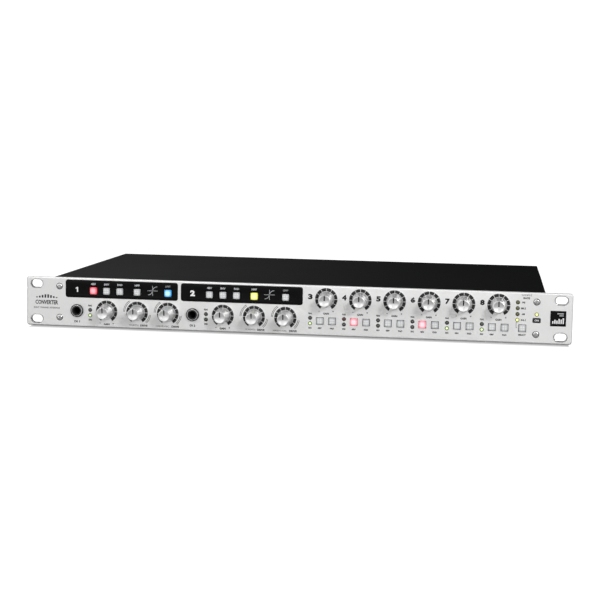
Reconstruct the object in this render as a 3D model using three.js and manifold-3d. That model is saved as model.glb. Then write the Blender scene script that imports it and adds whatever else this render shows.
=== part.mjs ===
// Eight-channel rack preamplifier and converter, as an assembly of separate pieces.
// Millimetres. +Z is up, +X is to the right seen from the front, and the front faces -Y.
// The origin is the middle of the case's underside.
import * as THREE from "three";
import { mergeVertices } from "three/addons/utils/BufferGeometryUtils.js";
import Module from "manifold-3d";

const wasm = await Module();
wasm.setup();

// ---------------------------------------------------------------- driving dimensions
const GAP = 0.3; // clearance between two fixed pieces that meet face to face

const panel = { width: 482.6, height: 44, thickness: 3, bevel: 0.9, cornerRadius: 1.6 };
const rackSlot = { fromEdge: 9.7, spacingZ: 31.75, length: 10.6, width: 7 };
const panelScrew = { fromEdge: 30.6, spacingZ: 28, holeRadius: 1.6, sinkRadius: 3, sinkDepth: 1.6 };
const inlay = { bottom: 26.25, height: 16, depth: 0.5, cornerRadius: 2.2 };
const inlaySpans = [
  [-205.1, -102.5],
  [-99.9, 9],
];
const badge = { fromEdge: 12.2, z: 22.3, size: 13.4, depth: 0.5 };

const ear = { width: 22.9, drop: 0.5 }; // how far the panel stands past the case, sideways and on top
const chassis = { depth: 250, sheet: 1.2, flange: 12 };
const vent = { width: 3, length: 22, pitch: 7.5, count: 7, z: 22, endMargin: 36 };
const standoff = { radius: 3, height: 6.5, inset: 8 };

// Control positions on the panel, measured from its centre line and its bottom edge.
const fullChannel = {
  x: [-167.4, -62],
  knobPitch: 27.9,
  knobZ: 14.6,
  keyOffsets: [-12.1, 0, 12.1, 27.9, 55.8],
  keyZ: 32.75,
  lampOffset: -15.1,
  jackOffset: -27.1,
};
const simpleChannel = {
  firstX: 29.6,
  pitch: 29.8,
  count: 6,
  knobZ: 32.3,
  keyOffsets: [-5.3, 5.5],
  keyZ: 13.05,
  lampOffset: -13.9,
};
const lampRows = [15.45, 10.65];
const rateLamps = { x: 194.7, topZ: 35.25, pitch: 5.05, count: 4 };
const rateKey = { x: 199.1, z: 13.05 };
const powerLamp = { x: 211, z: 25.25 };

const knob = { baseRadius: 6.8, faceRadius: 5.2, length: 15.4, standOff: 0.6 };
const knobForm = { dish: 0.6, rim: 0.3, skirt: 0.9, flareSteps: [0.35, 0.6, 0.8] };
const pointer = { width: 0.9, depth: 0.4 };
const shaft = { radius: 3, reach: 6, clearance: 0.5 };
const key = { size: 5.8, proud: 1.2, edge: 0.35, travel: 1.5, stem: 3.4, reach: 2.2, clearance: 0.4 };
const lamp = { radius: 1.35, holeRadius: 1.7, sunk: 0.4 };
const jack = { nutRadius: 5.8, nutThickness: 1.6, bushRadius: 4.5, boreRadius: 3.2, boreDepth: 24 };
const jackBody = { width: 14, height: 14, length: 20, start: 2.2 };

const controlBoard = { margin: 4, bottom: 4, top: 40, standBack: 9.5, thickness: 1.6 };
const potBody = { size: 11, gap: 0.5 };
const keySwitch = { size: 5.6 };
const frameWindow = { margin: 0.5, bottom: 3.4, top: 2.6 };

const mainBoard = { left: -118, right: 208, frontMargin: 55, rearMargin: 35, thickness: 1.6 };
const supply = { left: -206, right: -128, frontMargin: 63, rearMargin: 51, thickness: 1.6, headroom: 4 };

// Rear wall: positions along X, and the height that the connectors share.
const rearZ = 22;
const socket = { firstX: 198, pitch: -27.4, count: 8, flangeWidth: 26, flangeHeight: 31 };
const socketBody = { radius: 11.6, depth: 21, flange: 1.8 };
const socketCore = { slotOuter: 9.8, slotInner: 8, slotDepth: 12, jackRadius: 3.3, jackDepth: 18 };
const socketPins = { radius: 1.4, circle: 5.6, depth: 9 };
const multiPin = { x: -34, width: 53, height: 12.5, flange: 1, shellWidth: 40, shellHeight: 9.4 };
const multiPinDepth = { shell: 5.8, body: 9, slant: 1.2 };
const jackScrew = { radius: 2.5, spacing: 47.1, holeRadius: 1.3, holeStart: 2, shorter: 0.6 };
const clock = { x: -76, nutRadius: 7.4, nutThickness: 2.4, radius: 4.8, length: 12, bore: 4.1 };
const clockCore = { radius: 2.4, length: 7, boreDepth: 9, bodyRadius: 5.6, bodyDepth: 12 };
const clockLug = { width: 1.8, reach: 0.9, fromEnd: 5 };
const optical = { x: [-97, -117], width: 15, height: 14, flange: 1, depth: 15, mouth: 9.4 };
const shutter = { clearance: 0.35, thickness: 0.8, setBack: 2.8 };
const inlet = { x: -178, width: 50, height: 30, flange: 2, bodyWidth: 46, bodyHeight: 26, depth: 24 };
const mainsMouth = { offset: -12, width: 16.6, height: 23, depth: 17, corner: 4, bladeLength: 11 };
const blade = { width: 2, height: 4, spread: 7, offset: 2 };
const rocker = { offset: 15.6, width: 10, height: 20, swing: 14, depth: 5, proud: 0.6, taper: 1.5 };
const rockerWellSize = { clearance: 0.5, depth: 12 };
const fuse = { offset: 3.6, width: 6, height: 22, depth: 16, lip: 1.4, clearance: 0.3, wall: 3 };

// ---------------------------------------------------------------- derived positions
const panelBackY = -chassis.depth / 2;
const faceY = panelBackY - panel.thickness;
const rearY = chassis.depth / 2;
const insideRearY = rearY - chassis.sheet;
const boardFrontY = panelBackY + controlBoard.standBack;
const panelMidZ = panel.height / 2;
const caseWidth = panel.width - 2 * ear.width;
const caseTopZ = panel.height - ear.drop;
const coverUnderZ = caseTopZ - chassis.sheet;
const frameHalfWidth = caseWidth / 2 - chassis.sheet - GAP;
const boardBottomZ = chassis.sheet + standoff.height + GAP;

const fullKnobs = fullChannel.x.flatMap((x, c) =>
  [0, 1, 2].map((i) => ({ name: `knob_${c + 1}_${"abc"[i]}`, x: x + i * fullChannel.knobPitch,
    z: fullChannel.knobZ })));
const simpleX = Array.from({ length: simpleChannel.count }, (_, i) =>
  simpleChannel.firstX + i * simpleChannel.pitch);
const simpleKnobs = simpleX.map((x, i) => ({ name: `knob_${i + 3}`, x, z: simpleChannel.knobZ }));
const knobs = [...fullKnobs, ...simpleKnobs];

const fullKeys = fullChannel.x.flatMap((x, c) =>
  fullChannel.keyOffsets.map((dx, i) => ({ name: `key_${c + 1}_${"abcde"[i]}`, x: x + dx,
    z: fullChannel.keyZ })));
const simpleKeys = simpleX.flatMap((x, c) =>
  simpleChannel.keyOffsets.map((dx, i) => ({ name: `key_${c + 3}_${"ab"[i]}`, x: x + dx,
    z: simpleChannel.keyZ })));
const keys = [...fullKeys, ...simpleKeys, { name: "key_rate", ...rateKey }];

const lampColumns = [
  ...fullChannel.x.map((x) => x + fullChannel.lampOffset),
  ...simpleX.map((x) => x + simpleChannel.lampOffset),
];
const lamps = [
  ...lampColumns.flatMap((x) => lampRows.map((z) => ({ x, z }))),
  ...Array.from({ length: rateLamps.count }, (_, i) =>
    ({ x: rateLamps.x, z: rateLamps.topZ - i * rateLamps.pitch })),
  powerLamp,
];
const jacks = fullChannel.x.map((x, i) => ({ name: `instrument_jack_${i + 1}`,
  x: x + fullChannel.jackOffset, z: fullChannel.knobZ }));

const controlSpan = {
  left: jacks[0].x - jackBody.width / 2,
  right: rateKey.x + key.size / 2,
};
const sockets = Array.from({ length: socket.count }, (_, i) =>
  ({ name: `mic_socket_${i + 1}`, x: socket.firstX + i * socket.pitch }));

// ---------------------------------------------------------------- solids
function toSolid(geometry) {
  const bare = geometry.index ? geometry.toNonIndexed() : geometry.clone();
  bare.deleteAttribute("normal");
  bare.deleteAttribute("uv");
  const merged = mergeVertices(bare, 1e-4);
  return new wasm.Manifold(new wasm.Mesh({
    numProp: 3,
    vertProperties: new Float32Array(merged.attributes.position.array),
    triVerts: new Uint32Array(merged.index.array),
  }));
}

function toGeometry(solid) {
  const mesh = solid.getMesh();
  const geometry = new THREE.BufferGeometry();
  geometry.setAttribute("position", new THREE.BufferAttribute(mesh.vertProperties, 3));
  geometry.setIndex(new THREE.BufferAttribute(mesh.triVerts, 1));
  geometry.computeVertexNormals();
  return geometry;
}

const join = (solids) => solids.reduce((a, b) => a.add(b));
const cut = (solid, tools) => tools.reduce((a, b) => a.subtract(b), solid);

// A box between two corners.
function block(x0, x1, y0, y1, z0, z1) {
  const box = new THREE.BoxGeometry(x1 - x0, y1 - y0, z1 - z0);
  return toSolid(box.translate((x0 + x1) / 2, (y0 + y1) / 2, (z0 + z1) / 2));
}

// A box centred on (x, z) between two depths.
const blockY = (x, z, width, height, y0, y1) =>
  block(x - width / 2, x + width / 2, y0, y1, z - height / 2, z + height / 2);

// A round rod along Y.
function rodY(x, z, radius, y0, y1, sides = 12) {
  const rod = new THREE.CylinderGeometry(radius, radius, y1 - y0, sides);
  return toSolid(rod.translate(x, (y0 + y1) / 2, z));
}

// A round rod along Z.
function rodZ(x, y, radius, z0, z1, sides = 12) {
  const rod = new THREE.CylinderGeometry(radius, radius, z1 - z0, sides);
  return toSolid(rod.rotateX(Math.PI / 2).translate(x, y, (z0 + z1) / 2));
}

// A flat outline drawn in X and Z, given thickness from y0 to y1.
function plateY(outline, y0, y1, curveSegments = 4) {
  const plate = new THREE.ExtrudeGeometry(outline, { depth: y1 - y0, bevelEnabled: false, curveSegments });
  return toSolid(plate.rotateX(Math.PI / 2).translate(0, y1, 0));
}

// A profile of (radius, distance) points turned about an axis along Y through (x, z).
function turnedY(x, z, y, profile, sides) {
  const points = profile.map(([r, d]) => new THREE.Vector2(r, d));
  return toSolid(new THREE.LatheGeometry(points, sides).translate(x, y, z));
}

function roundedRectangle(x, z, width, height, radius) {
  const shape = new THREE.Shape();
  const [w, h] = [width / 2, height / 2];
  shape.moveTo(x - w + radius, z - h);
  shape.lineTo(x + w - radius, z - h);
  shape.absarc(x + w - radius, z - h + radius, radius, -Math.PI / 2, 0);
  shape.lineTo(x + w, z + h - radius);
  shape.absarc(x + w - radius, z + h - radius, radius, 0, Math.PI / 2);
  shape.lineTo(x - w + radius, z + h);
  shape.absarc(x - w + radius, z + h - radius, radius, Math.PI / 2, Math.PI);
  shape.lineTo(x - w, z - h + radius);
  shape.absarc(x - w + radius, z - h + radius, radius, Math.PI, Math.PI * 1.5);
  return shape;
}

// The four places that lie the same way in from the panel's ends.
const corners = ({ fromEdge, spacingZ }) =>
  [-1, 1].flatMap((sx) => [-1, 1].map((sz) =>
    ({ x: sx * (panel.width / 2 - fromEdge), z: panelMidZ + (sz * spacingZ) / 2 })));

// ---------------------------------------------------------------- finishes
const finish = (color, roughness, metalness) =>
  new THREE.MeshStandardMaterial({ color, roughness, metalness });
const finishes = {
  faceplate: finish(0xd6d6d4, 0.45, 0.8),
  paintedSteel: finish(0x1c1c1d, 0.55, 0.2),
  knobMetal: finish(0xc9cacc, 0.25, 1),
  keyCap: finish(0xe4e4e0, 0.35, 0),
  keyRed: finish(0xff8a94, 0.35, 0),
  keyBlue: finish(0x7fd0f5, 0.35, 0),
  keyYellow: finish(0xf4f39a, 0.35, 0),
  nickel: finish(0xa8a8a8, 0.3, 1),
  blackPlastic: finish(0x161616, 0.5, 0),
  greenBoard: finish(0x1d5b33, 0.5, 0),
  supplySteel: finish(0x9a9ea2, 0.4, 0.9),
};

const root = new THREE.Group();
function place(name, solid, material) {
  const mesh = new THREE.Mesh(toGeometry(solid), material);
  mesh.name = name;
  root.add(mesh);
}

// ---------------------------------------------------------------- front panel
function frontPanel() {
  const { width, height, thickness, bevel, cornerRadius } = panel;
  const outline = roundedRectangle(0, panelMidZ, width - 2 * bevel, height - 2 * bevel, cornerRadius);
  const bevelled = new THREE.ExtrudeGeometry(outline,
    { depth: thickness, bevelSize: bevel, bevelThickness: bevel, bevelSegments: 1, curveSegments: 3 });
  const blank = toSolid(bevelled.rotateX(Math.PI / 2).translate(0, panelBackY + bevel, 0));
  const behind = block(-width, width, panelBackY, panelBackY + 3 * bevel, -height, 2 * height);
  const [y0, y1] = [faceY - bevel, panelBackY + bevel];
  const holes = [
    ...corners(rackSlot).map(({ x, z }) =>
      plateY(roundedRectangle(x, z, rackSlot.length, rackSlot.width, rackSlot.width / 2 - 0.01),
        y0, y1, 5)),
    ...corners(panelScrew).flatMap(({ x, z }) => [
      rodY(x, z, panelScrew.holeRadius, y0, y1, 8),
      turnedY(x, z, faceY, [
        [0, -1], [panelScrew.sinkRadius, -1], [panelScrew.sinkRadius, 0],
        [panelScrew.holeRadius, panelScrew.sinkDepth], [0, panelScrew.sinkDepth],
      ], 12),
    ]),
    ...knobs.map(({ x, z }) => rodY(x, z, shaft.radius + shaft.clearance, y0, y1)),
    ...keys.map(({ x, z }) =>
      blockY(x, z, key.size + 2 * key.clearance, key.size + 2 * key.clearance, y0, y1)),
    ...lamps.map(({ x, z }) => rodY(x, z, lamp.holeRadius, y0, y1, 8)),
    ...jacks.map(({ x, z }) => rodY(x, z, jack.bushRadius + GAP, y0, y1, 16)),
    ...inlaySpans.map(([left, right]) => plateY(roundedRectangle((left + right) / 2,
      inlay.bottom + inlay.height / 2, right - left, inlay.height, inlay.cornerRadius),
    y0, faceY + inlay.depth)),
    blockY(panel.width / 2 - badge.fromEdge, badge.z, badge.size, badge.size, y0, faceY + badge.depth),
  ];
  return cut(blank, [behind, ...holes]);
}

// ---------------------------------------------------------------- case
function chassisBase() {
  const { sheet, flange } = chassis;
  const wallTop = coverUnderZ - GAP;
  const frameY = panelBackY + GAP;
  const floor = block(-caseWidth / 2, caseWidth / 2, frameY, rearY, 0, sheet);
  const rear = block(-frameHalfWidth, frameHalfWidth, insideRearY, rearY, 0, wallTop);
  const subFrame = block(-frameHalfWidth, frameHalfWidth, frameY, frameY + sheet, 0, wallTop);
  const window = block(controlSpan.left - frameWindow.margin, controlSpan.right + frameWindow.margin,
    frameY - 1, frameY + sheet + 1, frameWindow.bottom, wallTop - frameWindow.top);
  const lips = [-1, 1].map((side) => {
    const outer = side * frameHalfWidth;
    const inner = side * (frameHalfWidth - sheet);
    return block(Math.min(outer, inner), Math.max(outer, inner), frameY, rearY, 0, flange);
  });
  const topLips = [
    block(-frameHalfWidth, frameHalfWidth, frameY, frameY + flange, wallTop - sheet, wallTop),
    block(-frameHalfWidth, frameHalfWidth, rearY - flange, rearY, wallTop - sheet, wallTop),
  ];
  const posts = [
    ...boardPosts(mainBoard), ...boardPosts(supply),
  ].map(([x, y]) => rodZ(x, y, standoff.radius, 0, sheet + standoff.height, 8));
  const y0 = insideRearY - flange - 1;
  const y1 = rearY + 1;
  const cutOuts = [
    ...sockets.map(({ x }) => rodY(x, rearZ, socketBody.radius + GAP, y0, y1, 20)),
    blockY(multiPin.x, rearZ, multiPin.shellWidth + 2 * GAP, multiPin.shellHeight + 2 * GAP, y0, y1),
    rodY(clock.x, rearZ, clockCore.bodyRadius + GAP, y0, y1),
    ...optical.x.map((x) =>
      blockY(x, rearZ, optical.width - 2 + 2 * GAP, optical.height - 2 + 2 * GAP, y0, y1)),
    blockY(inlet.x, rearZ, inlet.bodyWidth + 2 * GAP, inlet.bodyHeight + 2 * GAP, y0, y1),
  ];
  const frontHole = ({ x, z }, radius) => rodY(x, z, radius, frameY - 1, frameY + sheet + 1, 8);
  const frontHoles = [
    ...corners(panelScrew).map((spot) => frontHole(spot, panelScrew.holeRadius)),
    frontHole(powerLamp, lamp.holeRadius),
  ];
  return cut(join([cut(subFrame, [window]), floor, rear, ...lips, ...topLips, ...posts]),
    [...cutOuts, ...frontHoles]);
}

// A board's front and rear edges, and where its posts stand in from its corners.
const boardFront = (board) => panelBackY + board.frontMargin;
const boardRear = (board) => rearY - board.rearMargin;
function boardPosts(board) {
  const { inset } = standoff;
  return [board.left + inset, board.right - inset].flatMap((x) =>
    [boardFront(board) + inset, boardRear(board) - inset].map((y) => [x, y]));
}

function topCover() {
  const { sheet } = chassis;
  const frontY = panelBackY + GAP;
  const top = block(-caseWidth / 2, caseWidth / 2, frontY, rearY, coverUnderZ, caseTopZ);
  const sides = [-1, 1].map((side) => {
    const outer = (side * caseWidth) / 2;
    const inner = side * (caseWidth / 2 - sheet);
    return block(Math.min(outer, inner), Math.max(outer, inner), frontY, rearY, sheet + GAP, caseTopZ);
  });
  const slots = [-1, 1].flatMap((end) => Array.from({ length: vent.count }, (_, i) => {
    const y = end * (rearY - vent.endMargin - i * vent.pitch);
    return block(-caseWidth, caseWidth, y - vent.width / 2, y + vent.width / 2,
      vent.z - vent.length / 2, vent.z + vent.length / 2);
  }));
  return cut(join([top, ...sides]), slots);
}

// ---------------------------------------------------------------- boards inside
function controlBoardSolid() {
  const { margin, bottom, top, thickness } = controlBoard;
  const backY = boardFrontY + thickness;
  const board = block(controlSpan.left - margin, powerLamp.x + margin, boardFrontY, backY, bottom, top);
  const windows = jacks.map(({ x, z }) =>
    blockY(x, z, jackBody.width + 2, jackBody.height + 2, boardFrontY - 1, backY + 1));
  const inBoard = boardFrontY + thickness / 2;
  const potFrontY = panelBackY + GAP + chassis.sheet + potBody.gap;
  const pots = knobs.map(({ x, z }) =>
    cut(blockY(x, z, potBody.size, potBody.size, potFrontY, inBoard),
      [rodY(x, z, shaft.radius + shaft.clearance, potFrontY - 1, panelBackY + shaft.reach + GAP, 8)]));
  const switchFrontY = panelBackY + key.reach + key.travel + GAP;
  const switches = keys.map(({ x, z }) =>
    blockY(x, z, keySwitch.size, keySwitch.size, switchFrontY, inBoard));
  const lampPosts = lamps.map(({ x, z }) => rodY(x, z, lamp.radius, faceY + lamp.sunk, inBoard, 6));
  const plug = block(-30, 30, inBoard, backY + 7, bottom + 3, bottom + 11);
  return cut(join([board, ...pots, ...switches, ...lampPosts, plug]), windows);
}

// Component blocks that stand on a board: [x, y, width, depth, height].
function populated(board, components) {
  const topZ = boardBottomZ + board.thickness;
  const sheet = block(board.left, board.right, boardFront(board), boardRear(board), boardBottomZ, topZ);
  return join([sheet, ...components.map(([x, y, width, depth, height]) =>
    block(x - width / 2, x + width / 2, y - depth / 2, y + depth / 2, topZ - 0.5, topZ + height))]);
}

function mainBoardSolid() {
  const [front, rear] = [boardFront(mainBoard), boardRear(mainBoard)];
  const relays = sockets.map(({ x }) => [x, rear - 14, 10, 15, 10]);
  const filters = sockets.map(({ x }) => [x, rear - 44, 16, 22, 6]);
  const converters = [0, 1, 2, 3].map((i) => [mainBoard.left + 40 + i * 60, front + 32, 14, 14, 2]);
  const header = [0, front + 8, 60, 6, 8];
  const heatSink = [mainBoard.left + 30, rear - 50, 30, 12, 22];
  return populated(mainBoard, [...relays, ...filters, ...converters, header, heatSink]);
}

function supplySolid() {
  const [front, rear] = [boardFront(supply), boardRear(supply)];
  const height = coverUnderZ - supply.headroom - boardBottomZ - supply.thickness;
  const x = (supply.left + supply.right) / 2;
  const y = (front + rear) / 2;
  const transformer = [x + 8, y - 10, 34, 34, height];
  const heatSinks = [-1, 1].map((side) => [x + side * 32, y, 3, 90, height - 4]);
  const inputFilter = [x, rear - 18, 24, 20, height - 10];
  const reservoir = [x - 4, front + 20, 24, 24, height - 4];
  return populated(supply, [transformer, ...heatSinks, inputFilter, reservoir]);
}

// ---------------------------------------------------------------- controls
function knobSolid({ x, z }) {
  const { baseRadius, faceRadius, length, standOff } = knob;
  const { dish, rim, skirt, flareSteps } = knobForm;
  const [wallTop, wallBottom] = [-length + rim, -standOff - skirt];
  // The wall stays slim near the face and flares out towards the panel.
  const flare = flareSteps.map((t) =>
    [faceRadius + (baseRadius - faceRadius) * t ** 2, wallTop + (wallBottom - wallTop) * t]);
  const body = turnedY(x, z, faceY, [
    [0, -length + dish], [faceRadius / 2, -length + 0.75 * dish], [faceRadius - 2 * rim, -length],
    [faceRadius - rim, -length], [faceRadius, wallTop], ...flare, [baseRadius, wallBottom],
    [baseRadius, -standOff], [shaft.radius, -standOff], [shaft.radius, panel.thickness + shaft.reach],
    [0, panel.thickness + shaft.reach],
  ], 16);
  const groove = block(x - pointer.width / 2, x + pointer.width / 2,
    faceY - length - 1, faceY - length + dish + pointer.depth, z, z + baseRadius);
  return cut(body, [groove]);
}

function keySolid({ x, z }) {
  const [front, back] = [faceY - key.proud, panelBackY - GAP];
  const half = key.size / 2 - key.edge;
  const square = new THREE.Shape([[-half, -half], [half, -half], [half, half], [-half, half]]
    .map(([dx, dz]) => new THREE.Vector2(x + dx, z + dz)));
  const cap = new THREE.ExtrudeGeometry(square, { depth: back - front - 2 * key.edge,
    bevelSize: key.edge, bevelThickness: key.edge, bevelSegments: 1 });
  const stem = blockY(x, z, key.stem, key.stem, back - 1, panelBackY + key.reach);
  return join([toSolid(cap.rotateX(Math.PI / 2).translate(0, back - key.edge, 0)), stem]);
}

function jackSolid({ x, z }) {
  const { nutRadius, nutThickness, bushRadius, boreRadius, boreDepth } = jack;
  const bodyY = panelBackY + jackBody.start;
  const nut = turnedY(x, z, faceY - GAP, [
    [0, -nutThickness], [nutRadius - 0.6, -nutThickness], [nutRadius, -nutThickness + 0.6],
    [nutRadius, 0], [0, 0],
  ], 20);
  const bush = rodY(x, z, bushRadius, faceY - GAP - 0.5, bodyY + 0.5, 16);
  const body = blockY(x, z, jackBody.width, jackBody.height, bodyY, bodyY + jackBody.length);
  const bore = rodY(x, z, boreRadius, faceY - nutThickness - 1, faceY + boreDepth, 16);
  return cut(join([nut, bush, body]), [bore]);
}

// ---------------------------------------------------------------- rear connectors
function micSocketSolid({ x }) {
  const { slotOuter, slotInner, slotDepth, jackRadius, jackDepth } = socketCore;
  const flangeY = rearY + GAP;
  const frontY = flangeY + socketBody.flange;
  const flange = plateY(roundedRectangle(x, rearZ, socket.flangeWidth, socket.flangeHeight, 3),
    flangeY, frontY, 2);
  const body = rodY(x, rearZ, socketBody.radius, rearY - socketBody.depth, flangeY + 0.5, 14);
  const ring = turnedY(x, rearZ, frontY, [
    [slotInner, -slotDepth], [slotOuter, -slotDepth], [slotOuter, 1], [slotInner, 1], [slotInner, -slotDepth],
  ], 14);
  const bore = rodY(x, rearZ, jackRadius, frontY - jackDepth, frontY + 1, 10);
  const pins = [0, 1, 2].map((i) => {
    const angle = (i - 0.5) * (Math.PI / 2) - Math.PI / 4;
    return rodY(x + socketPins.circle * Math.sin(angle), rearZ + socketPins.circle * Math.cos(angle),
      socketPins.radius, frontY - socketPins.depth, frontY + 1, 5);
  });
  const screwHoles = [-1, 1].map((side) =>
    rodY(x + (side * (socket.flangeWidth - 7)) / 2, rearZ + (side * (socket.flangeHeight - 7)) / 2,
      1.6, flangeY - 1, frontY + 1, 6));
  return cut(join([flange, body]), [ring, bore, ...pins, ...screwHoles]);
}

function multiPinSolid() {
  const { x, width, height, flange, shellWidth, shellHeight } = multiPin;
  const { shell, body, slant } = multiPinDepth;
  const flangeY = rearY + GAP;
  const plate = plateY(roundedRectangle(x, rearZ, width, height, 1.5), flangeY, flangeY + flange, 2);
  const dShape = new THREE.Shape();
  const [w, h] = [shellWidth / 2, shellHeight / 2];
  dShape.moveTo(x - w + slant, rearZ - h);
  dShape.lineTo(x + w - slant, rearZ - h);
  dShape.lineTo(x + w, rearZ + h);
  dShape.lineTo(x - w, rearZ + h);
  const shellSolid = plateY(dShape, rearY - body, flangeY + shell);
  const jackScrews = [-1, 1].map((side) => {
    const screwX = x + (side * jackScrew.spacing) / 2;
    return cut(rodY(screwX, rearZ, jackScrew.radius, flangeY, flangeY + shell - jackScrew.shorter, 6),
      [rodY(screwX, rearZ, jackScrew.holeRadius, flangeY + jackScrew.holeStart, flangeY + shell + 1, 8)]);
  });
  return join([plate, shellSolid, ...jackScrews]);
}

function clockSolid() {
  const { x, nutRadius, nutThickness, radius, length, bore } = clock;
  const flangeY = rearY + GAP;
  const boreEnd = length - clockCore.boreDepth;
  const nut = rodY(x, rearZ, nutRadius, flangeY, flangeY + nutThickness, 6);
  const barrel = turnedY(x, rearZ, flangeY, [
    [0, 1], [radius, 1], [radius, length], [bore, length], [bore, boreEnd],
    [clockCore.radius, boreEnd], [clockCore.radius, boreEnd + clockCore.length],
    [0, boreEnd + clockCore.length],
  ], 20);
  const lugY = flangeY + length - clockLug.fromEnd;
  const lugs = block(x - radius - clockLug.reach, x + radius + clockLug.reach, lugY, lugY + clockLug.width,
    rearZ - clockLug.width / 2, rearZ + clockLug.width / 2);
  const lugBore = rodY(x, rearZ, (radius + bore) / 2, lugY - 1, lugY + clockLug.width + 1, 20);
  const body = rodY(x, rearZ, clockCore.bodyRadius, rearY - clockCore.bodyDepth, flangeY + 0.5, 12);
  return join([nut, barrel, cut(lugs, [lugBore]), body]);
}

function opticalSolid(x) {
  const { width, height, flange, depth, mouth } = optical;
  const flangeY = rearY + GAP;
  const frontY = flangeY + flange;
  const plate = blockY(x, rearZ, width, height, flangeY, frontY);
  const body = blockY(x, rearZ, width - 2, height - 2, rearY - depth, flangeY + 0.5);
  const pocket = blockY(x, rearZ, mouth, mouth, frontY - depth + 2, frontY + 1);
  return cut(join([plate, body]), [pocket]);
}

// The dust shutter hangs just inside the mouth and swings inwards about its top edge.
function shutterSolid(x) {
  const size = optical.mouth - 2 * shutter.clearance;
  const outerY = rearY + GAP + optical.flange - shutter.setBack;
  const topZ = rearZ + size / 2;
  const plate = block(x - size / 2, x + size / 2, outerY - shutter.thickness, outerY,
    rearZ - size / 2, topZ - shutter.thickness / 2);
  const pin = new THREE.CylinderGeometry(shutter.thickness / 2, shutter.thickness / 2, size, 8);
  const hinge = toSolid(pin.rotateZ(Math.PI / 2)
    .translate(x, outerY - shutter.thickness / 2, topZ - shutter.thickness / 2));
  return join([plate, hinge]);
}

function inletSolid() {
  const flangeY = rearY + GAP;
  const frontY = flangeY + inlet.flange;
  const plate = plateY(roundedRectangle(inlet.x, rearZ, inlet.width, inlet.height, 2), flangeY, frontY, 2);
  const body = blockY(inlet.x, rearZ, inlet.bodyWidth, inlet.bodyHeight, rearY - inlet.depth, flangeY + 0.5);
  const mouthX = inlet.x + mainsMouth.offset;
  const [w, h, c] = [mainsMouth.width / 2, mainsMouth.height / 2, mainsMouth.corner];
  const mouth = new THREE.Shape();
  mouth.moveTo(mouthX + w, rearZ - h);
  mouth.lineTo(mouthX + w, rearZ + h);
  mouth.lineTo(mouthX - w + c, rearZ + h);
  mouth.lineTo(mouthX - w, rearZ + h - c);
  mouth.lineTo(mouthX - w, rearZ - h + c);
  mouth.lineTo(mouthX - w + c, rearZ - h);
  const mouthBackY = frontY - mainsMouth.depth;
  const recess = plateY(mouth, mouthBackY, frontY + 1);
  const blades = [
    [mouthX + blade.offset, rearZ - blade.spread],
    [mouthX + blade.offset, rearZ + blade.spread],
    [mouthX - blade.offset, rearZ],
  ].map(([x, z]) =>
    blockY(x, z, blade.height, blade.width, mouthBackY - 1, mouthBackY + mainsMouth.bladeLength));
  const rockerWell = blockY(inlet.x + rocker.offset, rearZ, rocker.width + 2 * rockerWellSize.clearance,
    rocker.height + 2 * rockerWellSize.clearance, frontY - rockerWellSize.depth, frontY + 1);
  const fuseWell = blockY(inlet.x + fuse.offset, rearZ, fuse.width + 2 * fuse.clearance,
    fuse.height + 2 * fuse.clearance, frontY - fuse.depth - GAP, frontY + 1);
  return join([cut(join([plate, body]), [recess, rockerWell, fuseWell]), ...blades]);
}

// The rocker's two faces meet at its pivot. It is drawn resting on its "on" side.
function rockerSolid() {
  const { width, height, depth, swing, taper } = rocker;
  const pivotY = rearY + GAP + inlet.flange + rocker.proud;
  const x = inlet.x + rocker.offset;
  const half = THREE.MathUtils.degToRad(swing / 2);
  const rise = (height / 2) * Math.sin(half);
  const shape = new THREE.Shape();
  shape.moveTo(-height / 2, 0);
  shape.lineTo(-height / 2 + taper, -depth);
  shape.lineTo(height / 2 - taper, -depth);
  shape.lineTo(height / 2, 0);
  shape.lineTo(height / 2, rise);
  shape.lineTo(0, 0.2);
  shape.lineTo(-height / 2, rise);
  const bar = new THREE.ExtrudeGeometry(shape, { depth: width, bevelEnabled: false });
  // The quarter turn stands the drawing's x up along Z.
  bar.translate(0, 0, -width / 2).rotateZ(half).rotateY(-Math.PI / 2);
  return toSolid(bar.translate(x, pivotY, rearZ));
}

function fuseDrawerSolid() {
  const x = inlet.x + fuse.offset;
  const frontY = rearY + GAP + inlet.flange;
  const tray = blockY(x, rearZ, fuse.width, fuse.height, frontY - fuse.depth, frontY + fuse.lip);
  const carrier = blockY(x, rearZ, fuse.width + 2, fuse.height - 2 * fuse.wall,
    frontY - fuse.depth + fuse.wall, frontY - fuse.wall);
  return cut(tray, [carrier]);
}

// ---------------------------------------------------------------- the assembly
place("front_panel", frontPanel(), finishes.faceplate);
place("chassis_base", chassisBase(), finishes.paintedSteel);
place("top_cover", topCover(), finishes.paintedSteel);
place("control_board", controlBoardSolid(), finishes.greenBoard);
place("main_board", mainBoardSolid(), finishes.greenBoard);
place("power_supply", supplySolid(), finishes.supplySteel);

const litKeys = { key_1_a: "keyRed", key_1_e: "keyBlue", key_2_d: "keyYellow", key_4_a: "keyRed",
  key_6_a: "keyRed" };
knobs.forEach((spot) => place(spot.name, knobSolid(spot), finishes.knobMetal));
keys.forEach((spot) => place(spot.name, keySolid(spot), finishes[litKeys[spot.name] ?? "keyCap"]));
jacks.forEach((spot) => place(spot.name, jackSolid(spot), finishes.nickel));

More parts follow.
